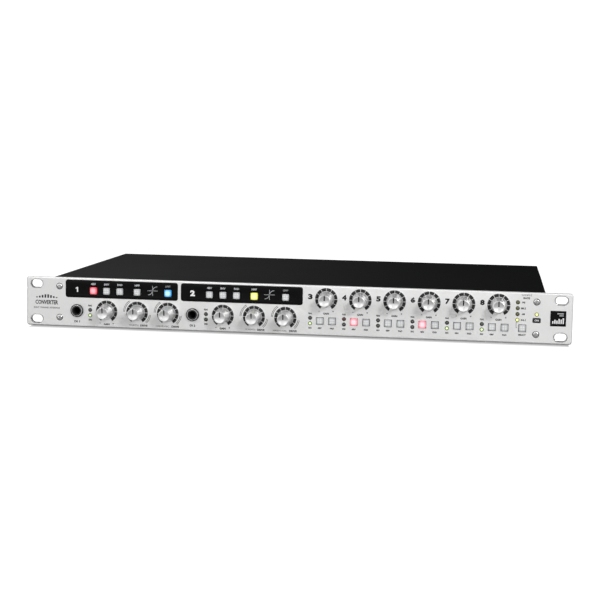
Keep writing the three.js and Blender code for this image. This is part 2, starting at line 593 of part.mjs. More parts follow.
sockets.forEach((spot) => place(spot.name, micSocketSolid(spot), finishes.blackPlastic));
place("multi_pin_output", multiPinSolid(), finishes.nickel);
place("word_clock_socket", clockSolid(), finishes.nickel);
optical.x.forEach((x, i) => {
  place(`optical_output_${i + 1}`, opticalSolid(x), finishes.blackPlastic);
  place(`optical_shutter_${i + 1}`, shutterSolid(x), finishes.blackPlastic);
});
place("power_inlet", inletSolid(), finishes.blackPlastic);
place("power_rocker", rockerSolid(), finishes.blackPlastic);
place("fuse_drawer", fuseDrawerSolid(), finishes.blackPlastic);

export default root;
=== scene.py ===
import math

import bmesh
import bpy
from mathutils import Matrix, Vector


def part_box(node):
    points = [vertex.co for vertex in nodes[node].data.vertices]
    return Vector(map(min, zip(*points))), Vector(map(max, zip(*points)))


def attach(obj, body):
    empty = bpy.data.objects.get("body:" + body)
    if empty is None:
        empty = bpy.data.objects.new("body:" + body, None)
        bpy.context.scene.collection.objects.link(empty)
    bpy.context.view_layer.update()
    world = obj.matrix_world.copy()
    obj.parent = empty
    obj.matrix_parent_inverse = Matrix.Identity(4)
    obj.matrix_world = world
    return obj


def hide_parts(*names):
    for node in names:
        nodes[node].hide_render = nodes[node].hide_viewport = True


# Eight-channel rack preamplifier. Lengths below are millimetres, turned to metres as each piece is finished.
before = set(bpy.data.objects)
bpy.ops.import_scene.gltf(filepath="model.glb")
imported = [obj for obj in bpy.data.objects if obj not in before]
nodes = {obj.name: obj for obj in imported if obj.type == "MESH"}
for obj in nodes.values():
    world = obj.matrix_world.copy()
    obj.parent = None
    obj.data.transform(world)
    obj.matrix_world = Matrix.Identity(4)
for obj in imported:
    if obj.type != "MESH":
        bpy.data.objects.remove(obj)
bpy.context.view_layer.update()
scene = bpy.context.scene
mm = 0.001


def boxOf(node):
    low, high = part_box(node)
    return low / mm, high / mm


def middleOf(node):
    low, high = boxOf(node)
    return (low + high) / 2


panelLow, panelHigh = boxOf("front_panel")
coverLow, coverHigh = boxOf("top_cover")
baseLow, baseHigh = boxOf("chassis_base")
faceY = panelLow.y


# where the axis of a turned part meets the panel's face
def frontOf(node):
    middle = middleOf(node)
    return middle.x, faceY, middle.z


rearY = baseHigh.y
print("frame loaded:", len(nodes), "nodes")

# camera first, where the front and a sliver of the top show
cameraPlace = {"sideways": 169.2, "outFromPanel": 1194.2, "height": 178.4, "turn": (83.02, -1.004, 7.88), "lens": 83.36}
cameraData = bpy.data.cameras.new("camera")
cameraData.lens = cameraPlace["lens"]
cameraData.sensor_width = 36
cameraData.clip_end = 20
camera = bpy.data.objects.new("camera", cameraData)
camera.location = Vector((cameraPlace["sideways"], faceY - cameraPlace["outFromPanel"], cameraPlace["height"])) * mm
camera.rotation_euler = [math.radians(angle) for angle in cameraPlace["turn"]]
scene.collection.objects.link(camera)
scene.camera = camera


# node helpers: an input given a socket is linked, and any other value is set on it
def feed(tree, node, inputs):
    for title, value in inputs.items():
        if isinstance(value, bpy.types.NodeSocket):
            tree.links.new(value, node.inputs[title])
        else:
            node.inputs[title].default_value = value
    return node


def addNode(tree, kind, inputs=None, **settings):
    node = tree.nodes.new("ShaderNode" + kind)
    for title, value in settings.items():
        setattr(node, title, value)
    return feed(tree, node, inputs or {})


def mathOf(tree, operation, first, second):
    return addNode(tree, "Math", {0: first, 1: second}, operation=operation).outputs["Value"]


def vectorMath(tree, operation, first, second=(0, 0, 0), result="Vector"):
    return addNode(tree, "VectorMath", {0: first, 1: second}, operation=operation).outputs[result]


def ranged(tree, value, start, end, least=0.0, most=1.0, kind="LINEAR"):
    inputs = {"Value": value, "From Min": start, "From Max": end, "To Min": least, "To Max": most}
    return addNode(tree, "MapRange", inputs, interpolation_type=kind).outputs["Result"]


def smoothed(tree, value, start, end, least=0.0, most=1.0):
    return ranged(tree, value, start, end, least, most, "SMOOTHSTEP")


def mixColours(tree, mask, first, second):
    first, second = [value if isinstance(value, bpy.types.NodeSocket) else (*value, 1) for value in (first, second)]
    return addNode(tree, "Mix", {"Factor": mask, 6: first, 7: second}, data_type="RGBA").outputs[2]


# shared effects
def newGroup(name, values, outputs):
    group = bpy.data.node_groups.new(name, "ShaderNodeTree")
    group.interface.new_socket("Vector", in_out="INPUT", socket_type="NodeSocketVector")
    for title, value in values.items():
        group.interface.new_socket(title, in_out="INPUT", socket_type="NodeSocketFloat").default_value = value
    for title in outputs:
        group.interface.new_socket(title, in_out="OUTPUT", socket_type="NodeSocketFloat")
    return group, group.nodes.new("NodeGroupInput").outputs, group.nodes.new("NodeGroupOutput")


# fine tooth of a blasted, powder-coated or moulded surface: a height and a light-and-dark tone
grainGroup, given, results = newGroup("surfaceGrain", {"Scale": 4000, "Softness": 0.5}, ("Height", "Tone"))
tooth = addNode(grainGroup, "TexNoise", {"Vector": given["Vector"], "Scale": given["Scale"], "Detail": 3,
                                         "Roughness": given["Softness"]}).outputs["Fac"]
feed(grainGroup, results, {"Height": tooth, "Tone": ranged(grainGroup, tooth, 0.32, 0.68)})

# slow cloudy change over a surface, as from handling and uneven finish
handlingGroup, given, results = newGroup("handling", {"Scale": 30, "Least": 0.3, "Most": 0.5}, ("Value",))
cloud = addNode(handlingGroup, "TexNoise", {"Vector": given["Vector"], "Scale": given["Scale"], "Detail": 4,
                                            "Distortion": 0.6}).outputs["Fac"]
feed(handlingGroup, results, {"Value": ranged(handlingGroup, cloud, 0.3, 0.7, given["Least"], given["Most"])})

# where an edge is rubbed: the rounded normal leaves the true one there
wearGroup, given, results = newGroup("edgeWear", {"Reach": 0.0004, "Breakup": 400, "Amount": 0.5}, ("Mask",))
roundedNormal = addNode(wearGroup, "Bevel", {"Radius": given["Reach"]}, samples=4).outputs["Normal"]
trueNormal = addNode(wearGroup, "NewGeometry").outputs["Normal"]
agreement = vectorMath(wearGroup, "DOT_PRODUCT", roundedNormal, trueNormal, "Value")
breakup = addNode(wearGroup, "TexNoise", {"Vector": given["Vector"], "Scale": given["Breakup"],
                                          "Detail": 3}).outputs["Fac"]
rubbed = mathOf(wearGroup, "MULTIPLY", ranged(wearGroup, agreement, 0.97, 0.75), breakup)
wearAmount = addNode(wearGroup, "Math", {0: rubbed, 1: given["Amount"]}, operation="MULTIPLY", use_clamp=True)
feed(wearGroup, results, {"Mask": wearAmount.outputs["Value"]})


# colour and tint are the two tones of the finish; grain is (per metre, depth in mm); worn is the bared edge
finishes = {
    "satinSilver": {"colour": (0.83, 0.83, 0.825), "tint": (0.89, 0.89, 0.885), "rough": (0.44, 0.52), "metal": 0.5,
                    "grain": (2600, 0.02), "cloud": 16, "worn": (0.9, 0.9, 0.9), "wear": 0.5},
    "caseBlack": {"colour": (0.0032, 0.0032, 0.0034), "tint": (0.0055, 0.0055, 0.0058), "rough": (0.44, 0.48),
                  "specular": 0.17, "grain": (1400, 0.03), "cloud": 9, "worn": (0.06, 0.06, 0.06), "wear": 0.6},
    "inlayBlack": {"colour": (0.004, 0.004, 0.0043), "tint": (0.006, 0.006, 0.0064), "rough": (0.3, 0.4),
                   "specular": 0.08, "grain": (5000, 0.004), "cloud": 40},
    "inkBlack": {"colour": (0.01, 0.01, 0.011), "tint": (0.018, 0.018, 0.019), "rough": (0.45, 0.6),
                 "specular": 0.3, "grain": (8000, 0.004), "cloud": 120},
    "inkGrey": {"colour": (0.16, 0.16, 0.165), "tint": (0.22, 0.22, 0.225), "rough": (0.45, 0.6),
                "specular": 0.3, "grain": (8000, 0.004), "cloud": 120},
    "inkWhite": {"colour": (0.8, 0.8, 0.8), "tint": (0.9, 0.9, 0.9), "rough": (0.5, 0.6),
                 "specular": 0.3, "grain": (8000, 0.004), "cloud": 120},
    "inkPale": {"colour": (0.42, 0.43, 0.44), "tint": (0.52, 0.53, 0.54), "rough": (0.5, 0.6),
                "specular": 0.3, "grain": (8000, 0.004), "cloud": 120},
    "pointerBlack": {"colour": (0.005, 0.005, 0.005), "tint": (0.009, 0.009, 0.009), "rough": (0.5, 0.6),
                     "specular": 0.2, "grain": (6000, 0.005), "cloud": 200},
    "nickel": {"colour": (0.62, 0.61, 0.59), "tint": (0.7, 0.69, 0.67), "rough": (0.18, 0.3), "metal": 1,
               "grain": (3500, 0.006), "cloud": 90, "worn": (0.85, 0.84, 0.82), "wear": 0.5},
    "darkNickel": {"colour": (0.16, 0.16, 0.16), "tint": (0.22, 0.22, 0.22), "rough": (0.28, 0.4), "metal": 1,
                   "grain": (3500, 0.008), "cloud": 90, "worn": (0.45, 0.45, 0.45), "wear": 0.6},
    "screwSteel": {"colour": (0.66, 0.66, 0.66), "tint": (0.74, 0.74, 0.74), "rough": (0.2, 0.32), "metal": 1,
                   "grain": (4000, 0.008), "cloud": 200, "worn": (0.9, 0.9, 0.9), "wear": 0.5},
    "blackScrew": {"colour": (0.015, 0.015, 0.016), "tint": (0.03, 0.03, 0.031), "rough": (0.3, 0.45),
                   "specular": 0.4, "grain": (4000, 0.01), "cloud": 200, "worn": (0.3, 0.3, 0.3), "wear": 0.7},
    "whitePlastic": {"colour": (0.7, 0.7, 0.68), "tint": (0.78, 0.78, 0.76), "rough": (0.35, 0.5),
                     "grain": (3000, 0.008), "cloud": 150},
    "mouldedBlack": {"colour": (0.011, 0.011, 0.012), "tint": (0.017, 0.017, 0.018), "rough": (0.38, 0.52),
                     "specular": 0.35, "grain": (2400, 0.02), "cloud": 60, "worn": (0.05, 0.05, 0.05), "wear": 0.6},
    # painted shade: this near-black is put at the bottoms of holes and round the panel screws, where there is only
    # shade
    "shadeBlack": {"colour": (0.004, 0.004, 0.004), "tint": (0.007, 0.007, 0.007), "rough": (0.6, 0.8),
                  "specular": 0.1, "grain": (2400, 0.01), "cloud": 60},
    "contactGold": {"colour": (0.78, 0.56, 0.25), "tint": (0.85, 0.64, 0.32), "rough": (0.2, 0.32), "metal": 1,
                    "grain": (5000, 0.006), "cloud": 200},
    "contactTin": {"colour": (0.6, 0.6, 0.58), "tint": (0.7, 0.7, 0.68), "rough": (0.22, 0.35), "metal": 1,
                   "grain": (5000, 0.008), "cloud": 200},
    "boardGreen": {"colour": (0.012, 0.09, 0.035), "tint": (0.02, 0.12, 0.05), "rough": (0.3, 0.45),
                   "grain": (1800, 0.02), "cloud": 50, "worn": (0.5, 0.4, 0.15), "wear": 0.4},
    "supplySteel": {"colour": (0.4, 0.42, 0.43), "tint": (0.5, 0.52, 0.53), "rough": (0.35, 0.5), "metal": 0.9,
                    "grain": (900, 0.03), "cloud": 30, "worn": (0.7, 0.7, 0.7), "wear": 0.5},
    "tinPlate": {"colour": (0.5, 0.5, 0.49), "tint": (0.62, 0.62, 0.6), "rough": (0.3, 0.42), "metal": 1,
                 "grain": (1500, 0.012), "cloud": 60, "worn": (0.8, 0.8, 0.78), "wear": 0.5},
}


def newMaterial(name, inputs):
    material = bpy.data.materials.new(name)
    material.use_nodes = True
    tree = material.node_tree
    shader = feed(tree, tree.nodes["Principled BSDF"], inputs)
    return material, tree, shader, addNode(tree, "TexCoord").outputs["Object"]


def grained(tree, place, scale):
    return addNode(tree, "Group", {"Vector": place, "Scale": scale}, node_tree=grainGroup).outputs


def clouded(tree, place, scale, rough):
    inputs = {"Vector": place, "Scale": scale, "Least": rough[0], "Most": rough[1]}
    return addNode(tree, "Group", inputs, node_tree=handlingGroup).outputs["Value"]


def bumped(tree, height, depth):
    return addNode(tree, "Bump", {"Height": height, "Distance": depth * mm}).outputs["Normal"]


def makeFinish(name, look):
    material, tree, shader, place = newMaterial(
        name, {"Metallic": look.get("metal", 0), "Specular IOR Level": look.get("specular", 0.5)})
    perMetre, depth = look["grain"]
    grain = grained(tree, place, perMetre)
    colour = mixColours(tree, grain["Tone"], look["colour"], look["tint"])
    if "worn" in look:
        rub = addNode(tree, "Group", {"Vector": place, "Amount": look["wear"]}, node_tree=wearGroup)
        colour = mixColours(tree, rub.outputs["Mask"], colour, look["worn"])
    feed(tree, shader, {"Base Color": colour, "Roughness": clouded(tree, place, look["cloud"], look["rough"]),
                        "Normal": bumped(tree, grain["Height"], depth)})
    return material


stuff = {name: makeFinish(name, look) for name, look in finishes.items()}


# turned metal: fine rings follow the distance along the turned profile, which is the map's u
turnedLook = {"colour": (0.9, 0.9, 0.9), "tint": (0.96, 0.96, 0.96), "rough": (0.33, 0.4), "cloud": 120, "rings": 900,
              "ringDepth": 0.004, "anisotropy": 0.35}


def makeTurnedMetal(name, look):
    material, tree, shader, place = newMaterial(name, {"Metallic": 1, "Anisotropic": look["anisotropy"]})
    lay = addNode(tree, "UVMap", uv_map="turned").outputs["UV"]
    tangent = addNode(tree, "Tangent", direction_type="UV_MAP", uv_map="turned").outputs["Tangent"]
    along = addNode(tree, "SeparateXYZ", {"Vector": lay}).outputs["X"]
    rings = addNode(tree, "TexNoise", {"W": along, "Scale": look["rings"], "Detail": 2},
                    noise_dimensions="1D").outputs["Fac"]
    feed(tree, shader, {"Base Color": mixColours(tree, rings, look["colour"], look["tint"]), "Tangent": tangent,
                        "Roughness": clouded(tree, place, look["cloud"], look["rough"]),
                        "Normal": bumped(tree, rings, look["ringDepth"])})
    return material


stuff["turnedSilver"] = makeTurnedMetal("turnedSilver", turnedLook)

# lit and unlit translucent plastic: heart is the colour over the lamp, edge the colour at the rim, and the one
# fades to the other between two distances, as shares of the piece's width
capRough, lensRough = (0.25, 0.36), (0.2, 0.3)
glowSurface = {"cloud": 300, "grain": (5000, 0.006), "fade": (0.12, 0.62), "ribs": (0.02, 0.1)}
glows = {
    # the unlit cap fades from a pale heart to a darker rim: painted shade at its edges
    "keyUnlit": {"heart": (0.88, 0.89, 0.89), "edge": (0.45, 0.46, 0.47), "glow": 0.0, "rough": capRough, "ribs": 0.55},
    "keyRed": {"heart": (0.95, 0.42, 0.46), "edge": (0.72, 0.05, 0.09), "glow": 0.7, "rough": capRough, "ribs": 0.2},
    "keyPink": {"heart": (0.95, 0.6, 0.64), "edge": (0.85, 0.2, 0.26), "glow": 0.6, "rough": capRough, "ribs": 0.2},
    "keyBlue": {"heart": (0.5, 0.8, 0.95), "edge": (0.03, 0.28, 0.6), "glow": 0.6, "rough": capRough, "ribs": 0.2},
    "keyYellow": {"heart": (0.88, 0.92, 0.4), "edge": (0.6, 0.6, 0.1), "glow": 0.65, "rough": capRough, "ribs": 0.2},
    "lampGreen": {"heart": (0.75, 0.9, 0.5), "edge": (0.07, 0.13, 0.01), "glow": 0.6, "rough": lensRough,
                  "fade": (0.16, 0.34)},
    "lampLime": {"heart": (0.9, 0.98, 0.4), "edge": (0.2, 0.22, 0.015), "glow": 0.6, "rough": lensRough,
                 "fade": (0.16, 0.34)},
    "opticRed": {"heart": (1.0, 0.25, 0.2), "edge": (0.5, 0.02, 0.02), "glow": 0.8, "rough": lensRough},
    "smokedLens": {"heart": (0.11, 0.12, 0.11), "edge": (0.008, 0.009, 0.008), "glow": 0.0, "rough": (0.2, 0.32),
                   "fade": (0.1, 0.34)},
    "smokedRed": {"heart": (0.17, 0.07, 0.06), "edge": (0.03, 0.009, 0.008), "glow": 0.0, "rough": (0.2, 0.32),
                  "fade": (0.1, 0.34)},
    "smokedOlive": {"heart": (0.17, 0.17, 0.07), "edge": (0.035, 0.035, 0.01), "glow": 0.0, "rough": (0.2, 0.32),
                    "fade": (0.1, 0.38)},
}


def makeGlow(name, look):
    material, tree, shader, place = newMaterial(name, {"Emission Strength": look["glow"]})
    lay = addNode(tree, "UVMap", uv_map="turned").outputs["UV"]
    fromCentre = addNode(tree, "Mapping", {"Vector": lay, "Location": (-0.5, -0.5, 0)}).outputs["Vector"]
    away = vectorMath(tree, "LENGTH", fromCentre, result="Value")
    colour = mixColours(tree, smoothed(tree, away, *look.get("fade", glowSurface["fade"])), look["heart"], look["edge"])
    if "ribs" in look:  # the cross of ribs moulded inside a cap shows faintly through it
        arms = addNode(tree, "SeparateXYZ", {"Vector": vectorMath(tree, "ABSOLUTE", fromCentre)}).outputs
        nearer = mathOf(tree, "MINIMUM", arms["X"], arms["Y"])
        rib = smoothed(tree, nearer, *glowSurface["ribs"], look["ribs"], 0)
        colour = mixColours(tree, rib, colour, look["edge"])
    perMetre, depth = glowSurface["grain"]
    feed(tree, shader, {"Base Color": colour, "Roughness": clouded(tree, place, glowSurface["cloud"], look["rough"]),
                        "Normal": bumped(tree, grained(tree, place, perMetre)["Height"], depth)})
    if look["glow"]:
        feed(tree, shader, {"Emission Color": colour})
    return material


stuff.update({name: makeGlow(name, look) for name, look in glows.items()})
print("finishes made:", len(stuff))


# makers: each gives a bmesh in millimetres
def newPiece(name, shapes, body, stands=(), sharp=35, mapRule=None, flat=False):
    whole = bmesh.new()
    finishList = []
    for shape, material in shapes:
        if material not in finishList:
            finishList.append(material)
        for face in shape.faces:
            face.material_index = finishList.index(material)
        passing = bpy.data.meshes.new("passing")
        shape.to_mesh(passing)
        shape.free()
        whole.from_mesh(passing)
        bpy.data.meshes.remove(passing)
    if mapRule:
        layer = whole.loops.layers.uv.new("turned")
        for face in whole.faces:
            mapRule(face, layer)
    bmesh.ops.scale(whole, vec=(mm, mm, mm), verts=whole.verts)
    mesh = bpy.data.meshes.new(name)
    whole.to_mesh(mesh)
    whole.free()
    for material in finishList:
        mesh.materials.append(stuff[material])
    mesh.shade_smooth()
    mesh.set_sharp_from_angle(angle=math.radians(sharp))
    piece = bpy.data.objects.new(name, mesh)
    scene.collection.objects.link(piece)
    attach(piece, body)
    if stands:
        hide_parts(*stands)
    if flat:  # broad faces keep their own normals next to broken edges
        even = piece.modifiers.new("evenNormals", "WEIGHTED_NORMAL")
        even.keep_sharp = True
    return piece


def moved(bm, vec):
    bmesh.ops.translate(bm, vec=vec, verts=bm.verts)
    return bm


def turned(bm, matrix):
    bmesh.ops.rotate(bm, cent=(0, 0, 0), matrix=matrix, verts=bm.verts)
    return bm


def rounded(bm, edges, offset, segments):
    bmesh.ops.bevel(bm, geom=edges, offset=offset, segments=segments, profile=0.5, affect="EDGES", clamp_overlap=True,
                    material=-1)


# a map for pieces seen from the front: the middle of a square of this size is at (0.5, 0.5)
def frontMap(x, z, size):
    def follow(face, layer):
        for loop in face.loops:
            loop[layer].uv = ((loop.vert.co.x - x) / size + 0.5, (loop.vert.co.z - z) / size + 0.5)

    return follow


def tidyShape(bm):
    bmesh.ops.remove_doubles(bm, verts=bm.verts, dist=0.0015)
    bmesh.ops.dissolve_degenerate(bm, dist=0.0005, edges=bm.edges)
    bmesh.ops.recalc_face_normals(bm, faces=bm.faces)
    return bm


# moves what an extrusion has just made
def pulled(bm, made, vec):
    bmesh.ops.translate(bm, vec=vec, verts=[v for v in made["geom"] if isinstance(v, bmesh.types.BMVert)])


# a profile of (radius, distance out of the wall) turned about an axis through the spot
# out is -1 at the front, 1 at the rear
def turnedShape(spot, profile, steps=48, out=-1):
    bm = bmesh.new()
    points = [bm.verts.new((radius, out * reach, 0)) for radius, reach in profile]
    lines = [bm.edges.new(pair) for pair in zip(points, points[1:])]
    bmesh.ops.spin(bm, geom=points + lines, cent=(0, 0, 0), axis=(0, 1, 0), angle=math.tau, steps=steps, use_merge=True)
    return moved(tidyShape(bm), spot)


# a block with its corner edges along one axis rounded, and then all its rims
def roundedBlock(spot, size, corner, rim, axis=1, cornerSteps=5, rimSteps=2):
    bm = bmesh.new()
    bmesh.ops.create_cube(bm, size=1)
    bmesh.ops.scale(bm, vec=size, verts=bm.verts)
    if corner:
        along = [edge for edge in bm.edges if abs((edge.verts[0].co - edge.verts[1].co)[axis]) > 1e-4]
        bmesh.ops.bevel(bm, geom=along, offset=corner, segments=cornerSteps, profile=0.5, affect="EDGES", material=-1)
    if rim:
        rims = [edge for edge in bm.edges if edge.calc_face_angle(0) > math.radians(50)]
        bmesh.ops.bevel(bm, geom=rims, offset=rim, segments=rimSteps, profile=0.5, affect="EDGES", material=-1)
    return moved(bm, spot)


def circleLine(x, z, radius, steps=48):
    turns = [math.tau * i / steps for i in range(steps)]
    return [(x + radius * math.cos(turn), z + radius * math.sin(turn)) for turn in turns]


def roundedLine(x, z, width, height, radius, steps=5):
    turns = [(1, -1, -90), (1, 1, 0), (-1, 1, 90), (-1, -1, 180)]
    line = []
    for sideX, sideZ, start in turns:
        for i in range(steps + 1):
            angle = math.radians(start + 90 * i / steps)
            line.append((x + sideX * (width / 2 - radius) + radius * math.cos(angle),
                         z + sideZ * (height / 2 - radius) + radius * math.sin(angle)))
    return line


def meshOfCurve(curve):
    holder = bpy.data.objects.new("holder", curve)
    scene.collection.objects.link(holder)
    mesh = bpy.data.meshes.new_from_object(holder)
    bm = bmesh.new()
    bm.from_mesh(mesh)
    bpy.data.objects.remove(holder)
    bpy.data.curves.remove(curve)
    bpy.data.meshes.remove(mesh)
    return bm


standUp = Matrix.Rotation(math.pi / 2, 3, "X")
faceAbout = Matrix.Rotation(math.pi, 3, "Z")


# a flat outline with holes, standing up between two depths, its rims broken by a small edge
def sheetShape(outline, holes, near, far, edge=0.0, edgeSteps=1):
    curve = bpy.data.curves.new("sheet", "CURVE")
    curve.dimensions = "2D"
    curve.fill_mode = "BOTH"
    curve.extrude = abs(far - near) / 2 - edge
    curve.bevel_depth = edge
    curve.bevel_resolution = edgeSteps
    curve.offset = -edge
    for line in [outline, *holes]:
        spline = curve.splines.new("POLY")
        spline.points.add(len(line) - 1)
        for point, (x, z) in zip(spline.points, line):
            point.co = (x, z, 0, 1)
        spline.use_cyclic_u = True
    return moved(turned(tidyShape(meshOfCurve(curve)), standUp), (0, (near + far) / 2, 0))


inkDepth = 0.04  # printed ink, half of it sunk in the surface


def letterShape(words, weight=0.0):
    if "M" in words:
        weight = 0  # the middle of an M fills up in a heavier face
    curve = bpy.data.curves.new("letters", "FONT")
    curve.body = words
    curve.align_x = "CENTER"
    curve.extrude = 0.5
    curve.offset = weight
    curve.resolution_u = 2
    return meshOfCurve(curve)


capital = letterShape("H")
capitalHeight = max(v.co.y for v in capital.verts) - min(v.co.y for v in capital.verts)
capital.free()


# one line of words centred on (x, z); rear text is turned to read from behind
def lettering(words, x, z, height, surface, width, weight=0.05, rear=False):
    bm = tidyShape(letterShape(words, weight))
    left, right = min(v.co.x for v in bm.verts), max(v.co.x for v in bm.verts)
    moved(bm, (-(left + right) / 2, -capitalHeight / 2, 0))
    bmesh.ops.scale(bm, vec=(width / (right - left), height / capitalHeight, inkDepth), verts=bm.verts)
    turned(bm, standUp)
    if rear:
        turned(bm, faceAbout)
    return moved(bm, (x, surface, z))


def inkBar(x, z, width, height, surface):
    return roundedBlock((x, surface, z), (width, inkDepth, height), 0, 0)


# bands of ink about a centre, each from a start angle clockwise of twelve o'clock
def arcBands(x, z, surface, inner, outer, bands, steps=10):
    bm = bmesh.new()
    for start, sweep in bands:
        ends = [bm.verts.new((0, inkDepth / 2, inner)), bm.verts.new((0, inkDepth / 2, outer))]
        bmesh.ops.rotate(bm, cent=(0, 0, 0), matrix=Matrix.Rotation(math.radians(start), 3, "Y"), verts=ends)
        line = bm.edges.new(ends)
        bmesh.ops.spin(bm, geom=[*ends, line], cent=(0, 0, 0), axis=(0, 1, 0), angle=math.radians(sweep), steps=steps)
    pulled(bm, bmesh.ops.extrude_face_region(bm, geom=bm.faces[:]), (0, -inkDepth, 0))
    bmesh.ops.recalc_face_normals(bm, faces=bm.faces)
    return moved(bm, (x, surface, z))


# a frame node's own shape, its doubles merged, chosen edges rounded by (rule, radius), and its other hard edges broken
def copiedShape(node, edge, steps=2, folds=()):
    bm = bmesh.new()
    bm.from_mesh(nodes[node].data)
    bmesh.ops.scale(bm, vec=(1 / mm, 1 / mm, 1 / mm), verts=bm.verts)
    bmesh.ops.remove_doubles(bm, verts=bm.verts, dist=0.004)
    bmesh.ops.dissolve_limit(bm, angle_limit=math.radians(1), verts=bm.verts, edges=bm.edges)
    for rule, radius in folds:
        rounded(bm, [e for e in bm.edges if rule(e)], radius, 6)
    rounded(bm, [e for e in bm.edges if e.is_manifold and e.calc_face_angle(0) > math.radians(50)], edge, steps)
    return bm


# the case
caseLook = {"panelEdge": 0.12, "frontRim": 0.65, "coverEdge": 0.2, "foldRadius": 1.5, "baseEdge": 0.15}


def topFold(edge):
    return all(abs(abs(v.co.x) - coverHigh.x) < 0.01 and abs(v.co.z - coverHigh.z) < 0.01 for v in edge.verts)


def frontRim(edge):
    return all(abs(v.co.y - faceY) < 0.01 and (min(v.co.z - panelLow.z, panelHigh.z - v.co.z) < 1.6
                                               or panelHigh.x - abs(v.co.x) < 2.5) for v in edge.verts)


slotLook = {"x": 231.6, "z": 15.875, "size": (10.6, 7.0), "radius": 3.49, "lining": 0.07, "chamfer": 0.75, "sunk": 0.01,
            "short": 0.15, "steps": 10}
panelMiddle = (panelLow.z + panelHigh.z) / 2


# widens the front of each rack slot, which leaves room for its chamfer
def flared(shape):
    wide, tall = slotLook["size"]
    straight = (wide - tall) / 2
    for vert in shape.verts:
        sideX, sideZ = math.copysign(1, vert.co.x), math.copysign(1, vert.co.z - panelMiddle)
        x, z = abs(vert.co.x) - slotLook["x"], abs(vert.co.z - panelMiddle) - slotLook["z"]
        away = Vector(((x - max(-straight, min(straight, x))) * sideX, 0, z * sideZ))
        if vert.co.y < faceY + 0.2 and 0 < away.length < tall / 2 + 0.4:
            vert.co += away.normalized() * slotLook["chamfer"]
    return shape


# the bright chamfer and wall of one slot
def slotLining(x, z):
    (wide, tall), corner, cut = slotLook["size"], slotLook["radius"], slotLook["chamfer"]
    inner, front, steps = slotLook["lining"], faceY + slotLook["sunk"], slotLook["steps"]
    lining = sheetShape(roundedLine(x, z, wide + 2 * cut, tall + 2 * cut, corner + cut, steps),
                        [roundedLine(x, z, wide - 2 * inner, tall - 2 * inner, corner - inner, steps)],
                        front, panelHigh.y - slotLook["short"])
    rounded(lining, [e for e in lining.edges if all(abs(v.co.y - front) < 0.001 and abs(v.co.x - x) < wide / 2
                                                    and abs(v.co.z - z) < tall / 2 for v in e.verts)], cut, 1)
    return lining


faceplate = flared(copiedShape("front_panel", caseLook["panelEdge"], folds=[(frontRim, caseLook["frontRim"])]))
newPiece("faceplate", [(faceplate, "satinSilver")], "case", ["front_panel"], flat=True)
linings = [(slotLining(sideX * slotLook["x"], panelMiddle + sideZ * slotLook["z"]), "screwSteel")
           for sideX in (-1, 1) for sideZ in (-1, 1)]
newPiece("slot_walls", linings, "case")
cover = copiedShape("top_cover", caseLook["coverEdge"], folds=[(topFold, caseLook["foldRadius"])])
newPiece("cover_shell", [(cover, "caseBlack")], "case", ["top_cover"], flat=True)
newPiece("base_shell", [(copiedShape("chassis_base", caseLook["baseEdge"]), "caseBlack")], "case",
         ["chassis_base"], flat=True)
for node, finish in (("control_board", "boardGreen"), ("main_board", "boardGreen"), ("power_supply", "supplySteel")):
    nodes[node].data.materials.clear()
    nodes[node].data.materials.append(stuff[finish])
print("case made")

# knobs
knobLook = {"faceRadius": 5.2, "baseRadius": 6.8, "dish": 0.6, "rim": 0.3, "standOff": 0.6, "skirt": 0.9,
            "hem": 0.25, "shaftRadius": 3, "pointerWidth": 1.05, "pointerStart": 0.2, "pointerProud": 0.05,
            "steps": 72, "mapLength": 30}
knobNames = [f"knob_{channel}_{letter}" for channel in (1, 2) for letter in "abc"] + [f"knob_{i}" for i in range(3, 9)]


def dishReach(radius, length):
    flat = knobLook["faceRadius"] - 2 * knobLook["rim"]
    return length - knobLook["dish"] * (1 - min(radius / flat, 1) ** 2)


def makeKnob(name):
    look = knobLook
    low, high = boxOf(name)
    spot = frontOf(name)
    length, tail = faceY - low.y, high.y - faceY
    face, base, rim = look["faceRadius"], look["baseRadius"], look["rim"]
    flat = face - 2 * rim
    wallTop, wallEnd = length - rim, look["standOff"] + look["skirt"]
    profile = [(flat * i / 6, dishReach(flat * i / 6, length)) for i in range(7)]
    profile += [(face - rim, length), (face - rim * 0.3, length - rim * 0.3), (face, wallTop)]
    profile += [(face + (base - face) * (i / 10) ** 2, wallTop + (wallEnd - wallTop) * i / 10) for i in range(1, 11)]
    profile += [(base, look["standOff"] + look["hem"]), (base - look["hem"], look["standOff"]),
                (look["shaftRadius"], look["standOff"]), (look["shaftRadius"], -tail), (0, -tail)]
    body = turnedShape(spot, profile, look["steps"])
    # the pointer is a strip of paint that follows the dish up to the rim
    pointer = bmesh.new()
    reaches = [look["pointerStart"] + (face - rim - look["pointerStart"]) * i / 6 for i in range(7)]
    points = [pointer.verts.new((-look["pointerWidth"] / 2, -dishReach(reach, length) - look["pointerProud"], reach))
              for reach in reaches]
    lines = [pointer.edges.new(pair) for pair in zip(points, points[1:])]
    pulled(pointer, bmesh.ops.extrude_edge_only(pointer, edges=lines), (look["pointerWidth"], 0, 0))
    pulled(pointer, bmesh.ops.extrude_face_region(pointer, geom=pointer.faces[:]), (0, 0.3, 0))
    bmesh.ops.recalc_face_normals(pointer, faces=pointer.faces)
    moved(pointer, spot)

    def follow(faceOf, layer):
        turns = [math.atan2(loop.vert.co.x - spot[0], loop.vert.co.z - spot[2]) / math.tau for loop in faceOf.loops]
        for loop, turn in zip(faceOf.loops, turns):
            radius = math.hypot(loop.vert.co.x - spot[0], loop.vert.co.z - spot[2])
            along = radius + max(0, loop.vert.co.y - low.y - look["dish"])
            if max(turns) - turn > 0.5:  # faces over the seam keep one side
                turn += 1
            loop[layer].uv = (along / look["mapLength"], turn)

    newPiece(name + "_turned", [(body, "turnedSilver"), (pointer, "pointerBlack")], name, [name], 40,
             follow)


for name in knobNames:
    makeKnob(name)
print("knobs made:", len(knobNames))

